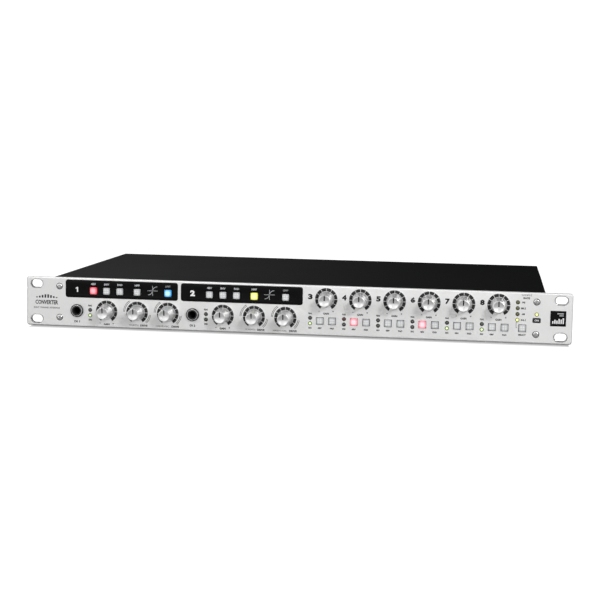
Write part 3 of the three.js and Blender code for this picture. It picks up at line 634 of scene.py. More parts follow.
# printed scales
scaleLook = {"inner": 7.05, "outer": 9.8, "bands": 10, "from": -150, "gap": 2.3, "thinArcs": (11.15, 12.25),
             "thinWidth": 0.4, "thinBands": [(-88, 54), (98, 40)]}


def makeScale(name):
    look = scaleLook
    spot = middleOf(name)
    pitch = -2 * look["from"] / look["bands"]
    bands = [(look["from"] + pitch * i + look["gap"] / 2, pitch - look["gap"]) for i in range(look["bands"])]
    shapes = [(arcBands(spot.x, spot.z, faceY, look["inner"], look["outer"], bands), "inkBlack")]
    if name[-1] in "bc":
        for radius in look["thinArcs"]:
            thin = arcBands(spot.x, spot.z, faceY, radius, radius + look["thinWidth"], look["thinBands"], 16)
            shapes.append((thin, "inkBlack"))
    newPiece("scale" + name[4:], shapes, "case", sharp=30)


for name in knobNames:
    makeScale(name)

# inlays behind the two full channels
inlayLook = {"bottom": 26.25, "height": 16, "corner": 2.2, "recess": 0.5, "below": 0.03, "clearance": 0.06,
             "keyHole": 6.6, "keyCorner": 0.5, "spans": [(-205.1, -102.5), (-99.9, 9)]}
inlayFace = faceY + inlayLook["below"]
for channel, (left, right) in enumerate(inlayLook["spans"], 1):
    tall, clear, hole = inlayLook["height"], 2 * inlayLook["clearance"], inlayLook["keyHole"]
    outline = roundedLine((left + right) / 2, inlayLook["bottom"] + tall / 2, right - left - clear, tall - clear,
                          inlayLook["corner"], 8)
    keySpots = [middleOf(f"key_{channel}_{letter}") for letter in "abcde"]
    holes = [roundedLine(spot.x, spot.z, hole, hole, inlayLook["keyCorner"], 3) for spot in keySpots]
    strip = sheetShape(outline, holes, inlayFace, faceY + inlayLook["recess"], 0.06)
    newPiece(f"inlay_{channel}", [(strip, "inlayBlack")], "case")

# keys
keyLook = {"size": 5.8, "corner": 0.95, "rim": 0.42, "capShort": 0.3, "stem": 3.4, "stemInCap": 0.6,
           "lit": {"key_1_a": "keyRed", "key_1_e": "keyBlue", "key_2_d": "keyYellow", "key_4_a": "keyPink",
                   "key_6_a": "keyPink"}}
keyNames = sorted(name for name in nodes if name.startswith("key_"))


def makeKey(name):
    low, high = boxOf(name)
    spot, size, stemSize = (low + high) / 2, keyLook["size"], keyLook["stem"]
    capBack = panelHigh.y - keyLook["capShort"]
    stemFront = capBack - keyLook["stemInCap"]
    cap = roundedBlock((spot.x, (low.y + capBack) / 2, spot.z), (size, capBack - low.y, size), keyLook["corner"],
                       keyLook["rim"], rimSteps=3)
    stem = roundedBlock((spot.x, (stemFront + high.y) / 2, spot.z), (stemSize, high.y - stemFront, stemSize), 0.3, 0.15)
    finish = keyLook["lit"].get(name, "keyUnlit")
    newPiece(name + "_cap", [(cap, finish), (stem, finish)], name, [name], 40,
             frontMap(spot.x, spot.z, size))


for name in keyNames:
    makeKey(name)
print("keys made:", len(keyNames))

# lamps
lampLook = {"radius": 1.6, "bezel": 1.8, "proud": 0.4, "bezelProud": 0.1, "bezelEdge": 0.1, "sunk": 1.2, "mapSize": 2.4,
            "rows": {"upper": 15.45, "lower": 10.65}, "offset": {"full": -15.1, "simple": -13.9},
            "rate": {"x": 194.7, "top": 35.25, "pitch": 5.05, "count": 4}, "power": (211, 25.25)}
lampSpots = {}
for channel in range(1, 9):
    knobX = middleOf(f"knob_{channel}_a" if channel < 3 else f"knob_{channel}").x
    x = knobX + lampLook["offset"]["full" if channel < 3 else "simple"]
    for row, z in lampLook["rows"].items():
        lit = row == "lower" and channel in (1, 3, 7, 8)
        finish = "lampGreen" if lit else "smokedRed" if (channel, row) == (4, "upper") else "smokedLens"
        lampSpots[f"lamp_{channel}_{row}"] = (x, z, finish)
for i in range(lampLook["rate"]["count"]):
    z = lampLook["rate"]["top"] - i * lampLook["rate"]["pitch"]
    lampSpots[f"lamp_rate_{i + 1}"] = (lampLook["rate"]["x"], z, "lampLime" if i == 3 else "smokedOlive")
lampSpots["lamp_power"] = (*lampLook["power"], "lampLime")


def makeLamp(name, x, z, finish):
    radius, bezel, proud = lampLook["radius"], lampLook["bezel"], lampLook["proud"]
    sunk, lip, soft = -lampLook["sunk"], lampLook["bezelProud"], lampLook["bezelEdge"]
    lens = turnedShape((x, faceY, z), [(0, proud), (radius * 0.4, proud * 0.9), (radius * 0.75, proud * 0.55),
                                       (radius, 0.02), (radius, sunk), (0, sunk)], 24)
    ring = turnedShape((x, faceY, z), [(radius, sunk), (radius, lip - 0.04), (radius + 0.06, lip), (bezel - soft, lip),
                                       (bezel, lip - soft), (bezel, sunk), (radius, sunk)], 24)
    newPiece(name, [(lens, finish), (ring, "mouldedBlack")], "case", sharp=40,
             mapRule=frontMap(x, z, lampLook["mapSize"] * radius))


for name, (x, z, finish) in lampSpots.items():
    makeLamp(name, x, z, finish)
print("lamps made:", len(lampSpots))

# instrument jacks
jackLook = {"nut": (5.05, 5.8), "ring": (4.15, 5.05), "sleeve": 4.0, "throat": (4.45, -8), "bore": 3.2, "deep": 22,
            "set": 0.3, "bodySize": 14, "bodyHole": 4.5, "bodyStart": 5.2, "bodyLength": 20}


def makeJack(index):
    node = f"instrument_jack_{index}"
    spot = frontOf(node)
    t, bore, deep, back = faceY - boxOf(node)[0].y, jackLook["bore"], -jackLook["deep"], jackLook["set"]
    (nutIn, nutOut), (ringIn, ringOut), sleeve = jackLook["nut"], jackLook["ring"], jackLook["sleeve"]
    throat, throatEnd = jackLook["throat"]
    washer = turnedShape(spot, [(nutIn, back), (nutIn, t - 0.7), (nutIn + 0.15, t - 0.5), (nutOut - 0.2, t - 0.5),
                                (nutOut, t - 0.7), (nutOut, back), (nutIn, back)])
    ring = turnedShape(spot, [(ringIn, back), (ringIn, t - 0.3), (ringIn + 0.15, t - 0.05), (ringOut - 0.2, t - 0.05),
                              (ringOut, t - 0.3), (ringOut, back), (ringIn, back)])
    tube = turnedShape(spot, [(bore, deep), (bore, t - 0.2), (bore + 0.2, t), (sleeve - 0.15, t), (sleeve, t - 0.2),
                              (sleeve, -1), (throat, -1), (throat, throatEnd), (bore, deep)])
    # the stop closing the bore is near-black: painted shade for the dark depth of the hole
    stop = turnedShape(spot, [(0, deep + 0.5), (bore + 0.1, deep + 0.5), (bore + 0.1, deep - 0.5), (0, deep - 0.5)], 24)
    x, z, size, start = spot[0], spot[2], jackLook["bodySize"], faceY + jackLook["bodyStart"]
    housing = sheetShape(roundedLine(x, z, size, size, 1), [circleLine(x, z, jackLook["bodyHole"], 32)],
                         start, start + jackLook["bodyLength"], 0.2)
    newPiece(f"jack_{index}_nut", [(washer, "mouldedBlack"), (ring, "screwSteel"), (tube, "mouldedBlack"),
                                   (stop, "shadeBlack"), (housing, "mouldedBlack")], "case", [node])


for index in (1, 2):
    makeJack(index)

# screws: a domed head whose hexagon socket is bridged to its round rim
screwLook = {"radius": 2.55, "proud": 0.6, "socket": 0.95, "socketDepth": 0.5, "shadeRadius": 2.95, "fromEdge": 30.6,
             "spacing": 28}


def screwShape(spot, radius, proud, socket, socketDepth, finish, matrix=None):
    bm = bmesh.new()
    loops = []
    for ringRadius, height in ((radius, -1.2), (radius, 0.15 * proud), (radius * 0.93, 0.6 * proud),
                               (radius * 0.72, proud), (socket, proud - 0.04), (socket, proud - socketDepth)):
        ring = bmesh.ops.create_circle(bm, cap_ends=False, radius=ringRadius, segments=24)["verts"]
        if ringRadius == socket:
            for vert in ring:  # the round is drawn in to a hexagon
                turn = math.atan2(vert.co.y, vert.co.x) % (math.pi / 3) - math.pi / 6
                vert.co *= math.cos(math.pi / 6) / math.cos(turn)
        bmesh.ops.translate(bm, vec=(0, 0, height), verts=ring)
        loops.append(list({edge for vert in ring for edge in vert.link_edges}))
    for near, far in zip(loops, loops[1:]):
        bmesh.ops.bridge_loops(bm, edges=near + far)
    bmesh.ops.holes_fill(bm, edges=loops[0] + loops[-1], sides=0)
    bmesh.ops.recalc_face_normals(bm, faces=bm.faces)
    return moved(turned(bm, matrix or standUp), spot), finish


for sideX, sideName in ((-1, "left"), (1, "right")):
    for sideZ, levelName in ((-1, "lower"), (1, "upper")):
        look, shadeRadius = screwLook, screwLook["shadeRadius"]
        spot = (sideX * (panelHigh.x - look["fromEdge"]), faceY, panelMiddle + sideZ * look["spacing"] / 2)
        head = screwShape(spot, look["radius"], look["proud"], look["socket"], look["socketDepth"], "screwSteel")
        # a near-black disc wider than the head is painted shade, standing for the shaded gap of a countersink round the
        # screw
        gapShade = turnedShape(spot, [(0, 0.04), (shadeRadius, 0.04), (shadeRadius, -0.4), (0, -0.4)])
        newPiece(f"panel_screw_{levelName}_{sideName}", [head, (gapShade, "shadeBlack")], "case")
print("jacks and screws made")

# badge and maker's corner, both plain level-meter marks
badgeLook = {"fromEdge": 12.2, "z": 22.3, "size": 13.3, "corner": 0.5, "recess": 0.5,
             "bars": [2.2, 3.4, 2.8, 4.2, 3.8, 5.0], "lines": (5.4, 3.6)}
badgeX = panelHigh.x - badgeLook["fromEdge"]
badgeZ, badgeSize, badgeFace = badgeLook["z"], badgeLook["size"], faceY - 0.02
badgePlate = sheetShape(roundedLine(badgeX, badgeZ, badgeSize, badgeSize, badgeLook["corner"]), [],
                        badgeFace, faceY + badgeLook["recess"], 0.08)
badgeShapes = [(badgePlate, "inlayBlack")]
for i, tall in enumerate(badgeLook["bars"]):
    badgeShapes.append((inkBar(badgeX - 4.4 + 1.75 * i, badgeZ - 4.4 + tall / 2, 1.05, tall, badgeFace), "inkWhite"))
for i, wide in enumerate(badgeLook["lines"]):
    badgeShapes.append((inkBar(badgeX + 4.6 - wide / 2, badgeZ + 4.3 - 1.7 * i, wide, 0.8, badgeFace), "inkPale"))
newPiece("badge", badgeShapes, "case")


def printed(name, lines, finish="inkBlack"):
    words = [lettering(text, x, z, height, faceY, *rest) for text, x, z, height, *rest in lines]
    newPiece(name, [(word, finish) for word in words], "case")


# eight bars of a level display over plain words
cornerLook = {"x": -222.6, "bars": [0.9, 1.6, 2.4, 3.1, 3.1, 2.4, 1.6, 0.9], "pitch": 2.6, "barWidth": 1.5,
              "barZ": 25.1}
cornerX = cornerLook["x"]
cornerShapes = [(lettering("CONVERTER", cornerX, 21.2, 3.4, faceY, 21, 0.035), "inkBlack"),
                (lettering("EIGHT CHANNEL INTERFACE", cornerX, 16.3, 1.3, faceY, 24, 0.04), "inkGrey")]
for i, tall in enumerate(cornerLook["bars"]):
    cornerShapes.append((inkBar(cornerX + (i - 3.5) * cornerLook["pitch"], cornerLook["barZ"] + tall / 2,
                                cornerLook["barWidth"], tall, faceY), "inkBlack"))
newPiece("corner_print", cornerShapes, "case")

# legends
# a numeral one with a flag, drawn in units of its own height
def numeralOne(x, z, height, surface):
    line = [(0.0, -0.5), (0.26, -0.5), (0.26, 0.5), (0.04, 0.5), (-0.26, 0.3), (-0.26, 0.1), (0.0, 0.22)]
    return sheetShape([(x + u * height, z + v * height) for u, v in line], [],
                      surface - inkDepth / 2, surface + inkDepth / 2)


legendLook = {"keyWords": {"a": "48V", "b": "INV", "c": "PAD", "d": "HPF", "e": "LIMIT"}, "keyWordZ": 38.75,
              "numberX": (-194.7, -89.3), "numberZ": 33.6, "drawX": (-125.5, -20.6), "drawZ": 34.5, "peakZ": 19.4,
              "signalZ": 6.7, "knobWordZ": 3.15}
for channel in (1, 2):
    keyShapes = [(lettering(words, middleOf(f"key_{channel}_{letter}").x, legendLook["keyWordZ"], 1.55, inlayFace, 4.6),
                  "inkPale") for letter, words in legendLook["keyWords"].items()]
    numberX, numberZ = legendLook["numberX"][channel - 1], legendLook["numberZ"]
    number = (numeralOne(numberX, numberZ, 4.4, inlayFace) if channel == 1
              else lettering("2", numberX, numberZ, 4.4, inlayFace, 4.4, 0.06))
    keyShapes.append((number, "inkWhite"))
    # the curve drawing: two axes and a bend through them
    drawX, drawZ = legendLook["drawX"][channel - 1], legendLook["drawZ"]
    drawing = [inkBar(drawX, drawZ, 0.35, 9.0, inlayFace), inkBar(drawX, drawZ, 9.5, 0.35, inlayFace)]
    drawing += [arcBands(drawX - side * 4.2, drawZ + side * 0.4, inlayFace, 3.9, 4.35, [(side * 90, 90)], 12)
                for side in (1, -1)]
    newPiece(f"inlay_print_{channel}", keyShapes + [(line, "inkPale") for line in drawing], "case")
    first, second, third = [middleOf(f"knob_{channel}_{letter}").x for letter in "abc"]
    below, peakZ, signalZ = legendLook["knobWordZ"], legendLook["peakZ"], legendLook["signalZ"]
    printed(f"panel_print_{channel}", [
        ("GAIN", first, below, 1.5, 5.5), ("−", first - 6, 3.95, 1.5, 1.2), ("+", first + 6, 3.95, 1.5, 1.3),
        ("WARMTH", second - 3.1, below, 1.5, 8.8), ("DRIVE", second + 6.3, below, 1.5, 6.6),
        ("HARMONIC", third - 4.7, below, 1.5, 12.2), ("DRIVE", third + 6.9, below, 1.5, 6.8),
        ("PEAK", first - 15.1, peakZ, 1.3, 3.6), ("SIG", first - 15.1, signalZ, 1.3, 3.0),
        (f"DI {channel}", first - 27.1, 4.8, 1.6, 5.0)])
for channel in range(3, 9):
    knobX = middleOf(f"knob_{channel}").x
    leftKey, rightKey = [middleOf(f"key_{channel}_{letter}").x for letter in "ab"]
    printed(f"panel_print_{channel}", [
        (str(channel), knobX - 14, 34.15, 3.9, 4.0, 0.06), ("GAIN", knobX, 19.65, 1.5, 5.2),
        ("−", knobX - 6.2, 21.6, 1.5, 1.2), ("+", knobX + 6.2, 21.6, 1.5, 1.3),
        ("PEAK", knobX - 13.9, peakZ, 1.3, 3.4), ("SIG", knobX - 13.9, signalZ, 1.3, 2.8),
        ("48V", leftKey, 6.65, 1.3, 3.6), ("PAD", rightKey, 6.65, 1.3, 3.6)])
rateX, rateTop, ratePitch = [lampLook["rate"][title] for title in ("x", "top", "pitch")]
rateLines = [("SAMPLE", 202, 41.65, 1.4, 8.6), ("RATE", 202, 39.1, 1.4, 5.4), ("SELECT", 199.1, 7.2, 1.3, 6.4)]
for i, (words, wide) in enumerate((("96", 2.6), ("88.2", 4.2), ("48", 2.6), ("44.1", 4.2))):
    rateLines.append((words, rateX + 4.9, rateTop - i * ratePitch, 1.4, wide))
printed("panel_print_rate", rateLines)
# a bracket from the lowest lamp to the key
bracket = [(-0.9, 15.6, 0.4, 4.6), (-0.3, 13.3, 1.2, 0.4), (-0.3, 17.9, 1.2, 0.4)]
newPiece("rate_bracket", [(inkBar(rateX + x, z, wide, tall, faceY), "inkGrey") for x, z, wide, tall in bracket], "case")
powerX, powerZ = lampLook["power"]
plate = sheetShape(roundedLine(powerX, powerZ - 5.1, 7, 4.3, 0.9), [], faceY - 0.03, faceY + 0.03)
onWord = lettering("ON", powerX, powerZ - 5.1, 1.5, faceY - 0.03, 3.4, 0.03)
newPiece("power_label", [(plate, "inkBlack"), (onWord, "inkWhite")], "case")
print("legends made")

# sockets behind, whose fronts face +Y
backward = Matrix.Rotation(-math.pi / 2, 3, "X")


# a turned tube with softened mouth edges, between two depths from the spot
def ringShape(spot, inner, outer, near, far, edge=0.15, steps=40, out=1):
    return turnedShape(spot, [(inner, near), (inner, far - edge), (inner + edge, far), (outer - edge, far),
                              (outer, far - edge), (outer, near), (inner, near)], steps, out)


# a polygon with each corner drawn round
def softenedLine(corners, radius, steps=5):
    line = []
    for before, corner, after in zip(corners[-1:] + corners[:-1], corners, corners[1:] + corners[:1]):
        corner = Vector(corner)
        start = corner + (Vector(before) - corner).normalized() * radius
        end = corner + (Vector(after) - corner).normalized() * radius
        for i in range(steps + 1):
            t = i / steps
            line.append(tuple(start * (1 - t) ** 2 + corner * 2 * t * (1 - t) + end * t ** 2))
    return line


socketLook = {"flange": (26, 31), "corner": 3, "slotOuter": 9.8, "slotInner": 8, "slotDepth": 12, "bodyRadius": 11.6,
              "collar": 11.1, "collarProud": 0.7, "jackRadius": 3.3, "jackDepth": 18, "pinRadius": 1.4,
              "pinCircle": 5.6, "pinDepth": 9, "screw": (9.5, 12), "screwRadius": 2.3,
              "latch": (7.2, 1.5, 2.9), "latchZ": 13.4}


def makeMicSocket(node):
    look = socketLook
    low, high = boxOf(node)
    x, face, z = middleOf(node).x, high.y, middleOf(node).z
    front, deep = (x, face, z), low.y - face
    slotIn, slotOut, jack, pin = look["slotInner"], look["slotOuter"], look["jackRadius"], look["pinRadius"]
    back, slotEnd, well = -look["jackDepth"], -look["slotDepth"], slotIn + 0.2
    holes = [(x + look["pinCircle"] * math.sin(turn), z + look["pinCircle"] * math.cos(turn))
             for turn in (-math.pi / 2, 0, math.pi / 2)]
    flange = sheetShape(roundedLine(x, z, *look["flange"], look["corner"], 6), [circleLine(x, z, slotOut)],
                        rearY + 0.3, face, 0.3, 2)
    collar = ringShape(front, slotOut - 0.02, look["collar"], -0.4, look["collarProud"], 0.25)
    cup = turnedShape(front, [(0, back), (well, back), (well, slotEnd), (slotOut, slotEnd), (slotOut, -1.75),
                              (look["bodyRadius"], -1.75), (look["bodyRadius"], deep), (0, deep)], 40, 1)
    barrel = sheetShape(circleLine(x, z, slotIn), [circleLine(x, z, jack, 32)]
                        + [circleLine(*hole, pin, 16) for hole in holes], face + back - 0.2, face - 0.45, 0.2, 2)
    shapes = [(shape, "mouldedBlack") for shape in (flange, collar, cup, barrel)]
    shapes.append((ringShape(front, jack - 0.05, 4.0, -1.5, -0.2, 0.12), "darkNickel"))
    for holeX, holeZ in holes:
        contact = ringShape((holeX, face, holeZ), 0.7, pin - 0.06, -look["pinDepth"], -1.4, 0.08, 12)
        shapes.append((contact, "contactGold"))
    latch = roundedBlock((x, face + look["latch"][1] / 2 - 0.2, z + look["latchZ"]), look["latch"], 0.5, 0.25)
    shapes.append((latch, "tinPlate"))
    for side in (-1, 1):
        spot = (x + side * look["screw"][0], face, z + side * look["screw"][1])
        shapes.append(screwShape(spot, look["screwRadius"], 0.9, 1.0, 0.7, "screwSteel", backward))
    newPiece(node + "_shell", shapes, "case", [node])


for i in range(1, 9):
    makeMicSocket(f"mic_socket_{i}")
print("microphone sockets made")

# the 25-way output: a D-shaped shell round an insulator with two rows of contacts, and two hexagonal jack screws
multiLook = {"plate": (53, 12.5), "plateThickness": 1, "shell": (40, 9.4), "slant": 1.2, "corner": 2.6, "wall": 0.7,
             "rows": (13, 12), "pitch": 2.77, "rowGap": 2.84, "contact": 0.55, "screwSpacing": 47.1, "screwRadius": 2.5,
             "screwHole": 1.3}


def makeMultiPin():
    look = multiLook
    low, high = boxOf("multi_pin_output")
    x, z, near = middleOf("multi_pin_output").x, middleOf("multi_pin_output").z, rearY + 0.3
    plateFace, shellEnd, contact = near + look["plateThickness"], high.y, look["contact"]
    (shellWide, shellTall), slant, wall, corner = look["shell"], look["slant"], look["wall"], look["corner"]

    def shellLine(inset, radius):
        wide, tall = shellWide / 2 - inset, shellTall / 2 - inset
        return softenedLine([(x + wide, z + tall), (x - wide, z + tall), (x - wide + slant, z - tall),
                             (x + wide - slant, z - tall)], radius)

    holes = [(x + (i - (count - 1) / 2) * look["pitch"], z + (0.5 - row) * look["rowGap"])
             for row, count in enumerate(look["rows"]) for i in range(count)]
    plate = sheetShape(roundedLine(x, z, *look["plate"], 1.5), [], near, plateFace, 0.25, 2)
    back = roundedBlock((x, (low.y + rearY + 0.4) / 2, z), (shellWide, rearY + 0.4 - low.y, shellTall), 1, 0.3)
    shell = sheetShape(shellLine(0, corner), [shellLine(wall, corner - 0.5)], plateFace - 0.1, shellEnd, 0.2, 2)
    # a near-black sheet behind the insulator is painted shade, seen only at the bottoms of the contact bores
    dark = roundedBlock((x, plateFace + 0.1, z), (36, 0.3, 6), 0, 0)
    bores = [circleLine(*hole, contact + 0.15, 12) for hole in holes]
    insulator = sheetShape(shellLine(wall - 0.05, corner - 0.5), bores, plateFace + 0.05, shellEnd - 0.5, 0.12)
    shapes = [(plate, "tinPlate"), (back, "mouldedBlack"), (shell, "tinPlate"), (dark, "shadeBlack"),
              (insulator, "mouldedBlack")]
    for holeX, holeZ in holes:
        shapes.append((ringShape((holeX, shellEnd, holeZ), 0.3, contact + 0.12, -4, -1.0, 0.05, 10), "contactGold"))
    for side in (-1, 1):
        screwX = x + side * look["screwSpacing"] / 2
        nut = sheetShape(circleLine(screwX, z, look["screwRadius"], 6), [circleLine(screwX, z, look["screwHole"], 16)],
                         plateFace - 0.1, shellEnd - 0.6, 0.2)
        shapes.append((nut, "nickel"))
    newPiece("multi_pin_shell", shapes, "case", ["multi_pin_output"])


makeMultiPin()

# the word clock's bayonet socket
clockLook = {"nut": 7.4, "nutThickness": 2.4, "radius": 4.8, "length": 12, "bore": 4.1, "groove": 0.3, "tail": 5.6,
             "core": 2.4, "coreStart": 3, "coreEnd": 10, "lug": 1.8, "lugReach": 0.9, "lugFromEnd": 5}


def makeClockSocket():
    look = clockLook
    middle = middleOf("word_clock_socket")
    x, z, near, end = middle.x, middle.z, rearY + 0.3, look["length"]
    front, root = (x, near, z), boxOf("word_clock_socket")[0].y - near
    radius, bore, tail, start, coreEnd = [look[title] for title in ("radius", "bore", "tail", "coreStart", "coreEnd")]
    groove, base = radius - look["groove"], start - 0.1
    barrel = turnedShape(front, [(0, start), (bore, start), (bore, end - 0.2), (bore + 0.15, end), (radius - 0.25, end),
                                 (radius, end - 0.25), (radius, end - 1.1), (groove, end - 1.3), (groove, end - 2.1),
                                 (radius, end - 2.3), (radius, 0.5), (radius - 0.2, 0), (tail, 0), (tail, root + 0.2),
                                 (tail - 0.2, root), (0, root)], 48, 1)
    nut = sheetShape(circleLine(x, z, look["nut"], 6), [circleLine(x, z, radius - 0.1, 40)],
                     near, near + look["nutThickness"], 0.3, 2)
    shapes = [(barrel, "nickel"), (nut, "nickel"),
              (ringShape(front, 0.8, look["core"], base, coreEnd, 0.15, 32), "whitePlastic"),
              (ringShape(front, 0.45, 0.82, base, coreEnd - 0.4, 0.08, 16), "contactGold"),
              (ringShape(front, 3.35, 3.65, base, coreEnd - 0.2, 0.08, 32), "contactTin")]
    for side in (-1, 1):
        lug = roundedBlock((x + side * (radius + look["lugReach"] / 2 - 0.1), near + end - look["lugFromEnd"], z),
                           (look["lugReach"] + 0.2, look["lug"], look["lug"]), 0.7, 0.12, axis=0)
        shapes.append((lug, "nickel"))
    newPiece("word_clock_barrel", shapes, "case", ["word_clock_socket"])


makeClockSocket()

# optical outputs with a dust shutter each
opticalLook = {"plate": (15, 14), "thickness": 1, "mouth": 9.4, "corner": 0.8, "lip": 11.4, "lipProud": 0.45,
               "body": 12.4, "lensRadius": 1.3, "mapSize": 2.4, "ribLevels": (-2.2, -0.9, 0.4), "rib": (5.2, 0.36, 0.6)}


def makeOptical(index):
    node, shutter = f"optical_output_{index}", f"optical_shutter_{index}"
    look, lens, size, lip = opticalLook, opticalLook["lensRadius"], opticalLook["body"], opticalLook["lip"]
    x, z, deep, near = middleOf(node).x, middleOf(node).z, boxOf(node)[0].y, rearY + 0.3
    face = near + look["thickness"]
    mouth = roundedLine(x, z, look["mouth"], look["mouth"], look["corner"], 4)
    housing = [
        sheetShape(roundedLine(x, z, *look["plate"], 1.2), [mouth], near, face, 0.2, 2),
        sheetShape(roundedLine(x, z, lip, lip, 1.5), [mouth], near + 0.5, face + look["lipProud"], 0.18, 2),
        sheetShape(roundedLine(x, z, size, size, 0.8), [mouth], deep + 2, near, 0.1),
        roundedBlock((x, deep + 1.05, z), (size, 2.1, size), 0.8, 0.1),
    ]
    eye = turnedShape((x, deep + 2.1, z), [(0, 0.9), (0.7, 0.75), (1.1, 0.45), (lens, 0), (lens, -0.6), (0, -0.6)],
                      20, 1)
    newPiece(f"optical_shell_{index}", [(shape, "mouldedBlack") for shape in housing] + [(eye, "opticRed")], "case",
             [node], mapRule=frontMap(x, z, look["mapSize"] * lens))
    flapFace = boxOf(shutter)[1].y
    ribs = [roundedBlock((x, flapFace + 0.02, z + level), look["rib"], 0.2, 0.08) for level in look["ribLevels"]]
    newPiece(f"optical_flap_{index}", [(shape, "mouldedBlack") for shape in (copiedShape(shutter, 0.12), *ribs)],
             shutter, [shutter])


for index in (1, 2):
    makeOptical(index)
print("outputs made")

# mains inlet with its switch and fuse drawer
inletLook = {"plate": (50, 30), "thickness": 2, "body": (46, 26), "mouthOffset": -12, "mouth": (16.6, 23), "cut": 4,
             "mouthDepth": 17, "lip": 1.1, "lipProud": 0.5, "blade": (4, 12, 2), "bladeEnd": 6, "spread": 7,
             "bladeOffset": 2, "rockerGap": 1, "fuseGap": 0.6, "fuseWidth": 6, "swing": 14, "markFrom": 5.4}


def makeInlet():
    look = inletLook
    low = boxOf("power_inlet")[0]
    x, z, near = middleOf("power_inlet").x, middleOf("power_inlet").z, rearY + 0.3
    front, mouthX = near + look["thickness"], x + look["mouthOffset"]

    def mouthLine(grow, radius):
        wide, tall, cut = look["mouth"][0] / 2 + grow, look["mouth"][1] / 2 + grow, look["cut"] + grow * 0.4
        return softenedLine([(mouthX + wide, z - tall), (mouthX + wide, z + tall), (mouthX - wide + cut, z + tall),
                             (mouthX - wide, z + tall - cut), (mouthX - wide, z - tall + cut),
                             (mouthX - wide + cut, z - tall)], radius)

    wells = [mouthLine(0, 0.9)]
    rockerSize, fuseSize = [boxOf(node)[1] - boxOf(node)[0] for node in ("power_rocker", "fuse_drawer")]
    for node, wide, tall, gap in (("power_rocker", rockerSize.x, rockerSize.z, look["rockerGap"]),
                                  ("fuse_drawer", look["fuseWidth"], fuseSize.z, look["fuseGap"])):
        wells.append(roundedLine(middleOf(node).x, z, wide + gap, tall + gap, 0.4, 3))
    housing = [
        sheetShape(roundedLine(x, z, *look["plate"], 2, 6), wells, near, front, 0.25, 2),
        sheetShape(mouthLine(look["lip"], 1.2), [mouthLine(0, 0.9)], near + 1, front + look["lipProud"], 0.2, 2),
        sheetShape(roundedLine(x, z, *look["body"], 1), wells, low.y + 1.4, near, 0.05),
        roundedBlock((x, low.y + 0.75, z), (look["body"][0], 1.5, look["body"][1]), 1, 0.1),
        sheetShape(mouthLine(0.1, 0.9), [], low.y + 1.4, front - look["mouthDepth"], 0.05),
    ]
    shapes = [(shape, "mouldedBlack") for shape in housing]
    bladeY = front - look["bladeEnd"] - look["blade"][1] / 2
    for side, level in ((1, -1), (1, 1), (-1, 0)):
        spot = (mouthX + side * look["bladeOffset"], bladeY, z + level * look["spread"])
        shapes.append((roundedBlock(spot, look["blade"], 0.3, 0.4), "contactTin"))
    newPiece("power_inlet_shell", shapes, "case", ["power_inlet"])


makeInlet()

# the rocker's two faces slope away from its pivot; its marks lie on them
rockerX, rockerZ = middleOf("power_rocker").x, middleOf("power_inlet").z
halfSwing = math.radians(inletLook["swing"] / 2)
pivotY = rearY + 0.3 + inletLook["thickness"] + 0.6
rise = 10 * math.sin(halfSwing)
slope = math.atan((rise - 0.2) / 10)
marks = [(inkBar(0, 0, 0.8, 3.6, 0), -1), (arcBands(0, 0, 0, 1.35, 2.05, [(0, 360)], 32), 1)]
rockerShapes = [(copiedShape("power_rocker", 0.45, 3), "mouldedBlack")]
for mark, end in marks:
    bmesh.ops.remove_doubles(mark, verts=mark.verts, dist=0.001)
    along = inletLook["markFrom"]
    turned(mark, Matrix.Rotation(-end * slope, 3, "X"))
    moved(mark, (0, 0.2 + (rise - 0.2) * along / 10, end * along))
    turned(mark, Matrix.Rotation(-halfSwing, 3, "X"))
    rockerShapes.append((moved(mark, (rockerX, pivotY, rockerZ)), "inkWhite"))
newPiece("rocker_cap", rockerShapes, "power_rocker", ["power_rocker"])

fuseHigh = boxOf("fuse_drawer")[1]
fuseX, fuseZ = middleOf("fuse_drawer").x, middleOf("fuse_drawer").z
grip = roundedBlock((fuseX, fuseHigh.y + 0.1, fuseHigh.z - 3.2), (4.2, 0.9, 1.4), 0.4, 0.2)
arrow = sheetShape([(fuseX - 1.3, fuseZ - 5), (fuseX + 1.3, fuseZ - 5), (fuseX, fuseZ - 7.2)], [],
                   fuseHigh.y - 0.02, fuseHigh.y + 0.02)
drawer = copiedShape("fuse_drawer", 0.35)
newPiece("fuse_drawer_front", [(drawer, "mouldedBlack"), (grip, "mouldedBlack"), (arrow, "inkWhite")], "fuse_drawer",
         ["fuse_drawer"])
print("inlet made")

# words behind: (words, x, z, height, width)
rearLines = [(f"MIC {i}", middleOf(f"mic_socket_{i}").x, 40.6, 1.9, 8.4) for i in range(1, 9)]
rearLines += [("LINE OUTPUTS 1 - 8", middleOf("multi_pin_output").x, 32.3, 1.8, 30),
              ("WORD CLOCK", -76, 34.6, 1.6, 14.5), ("IN", -76, 31.8, 1.6, 2.4), ("OPTICAL OUT", -107, 36.4, 1.6, 17),
              ("1 - 4", -97, 32, 1.5, 5.4),
              ("5 - 8", -117, 32, 1.5, 5.4), ("POWER", -178, 40, 1.6, 9), ("FUSE", -178, 4, 1.5, 6)]
rearBars = [(-107, 34.4, 26, 0.35), (-120, 33.9, 0.35, 1.3), (-94, 33.9, 0.35, 1.3)]
rearShapes = [lettering(words, x, z, tall, rearY, wide, 0.05, True) for words, x, z, tall, wide in rearLines]
rearShapes = [(shape, "inkWhite") for shape in rearShapes + [inkBar(*bar, rearY) for bar in rearBars]]
newPiece("rear_print", rearShapes, "case")

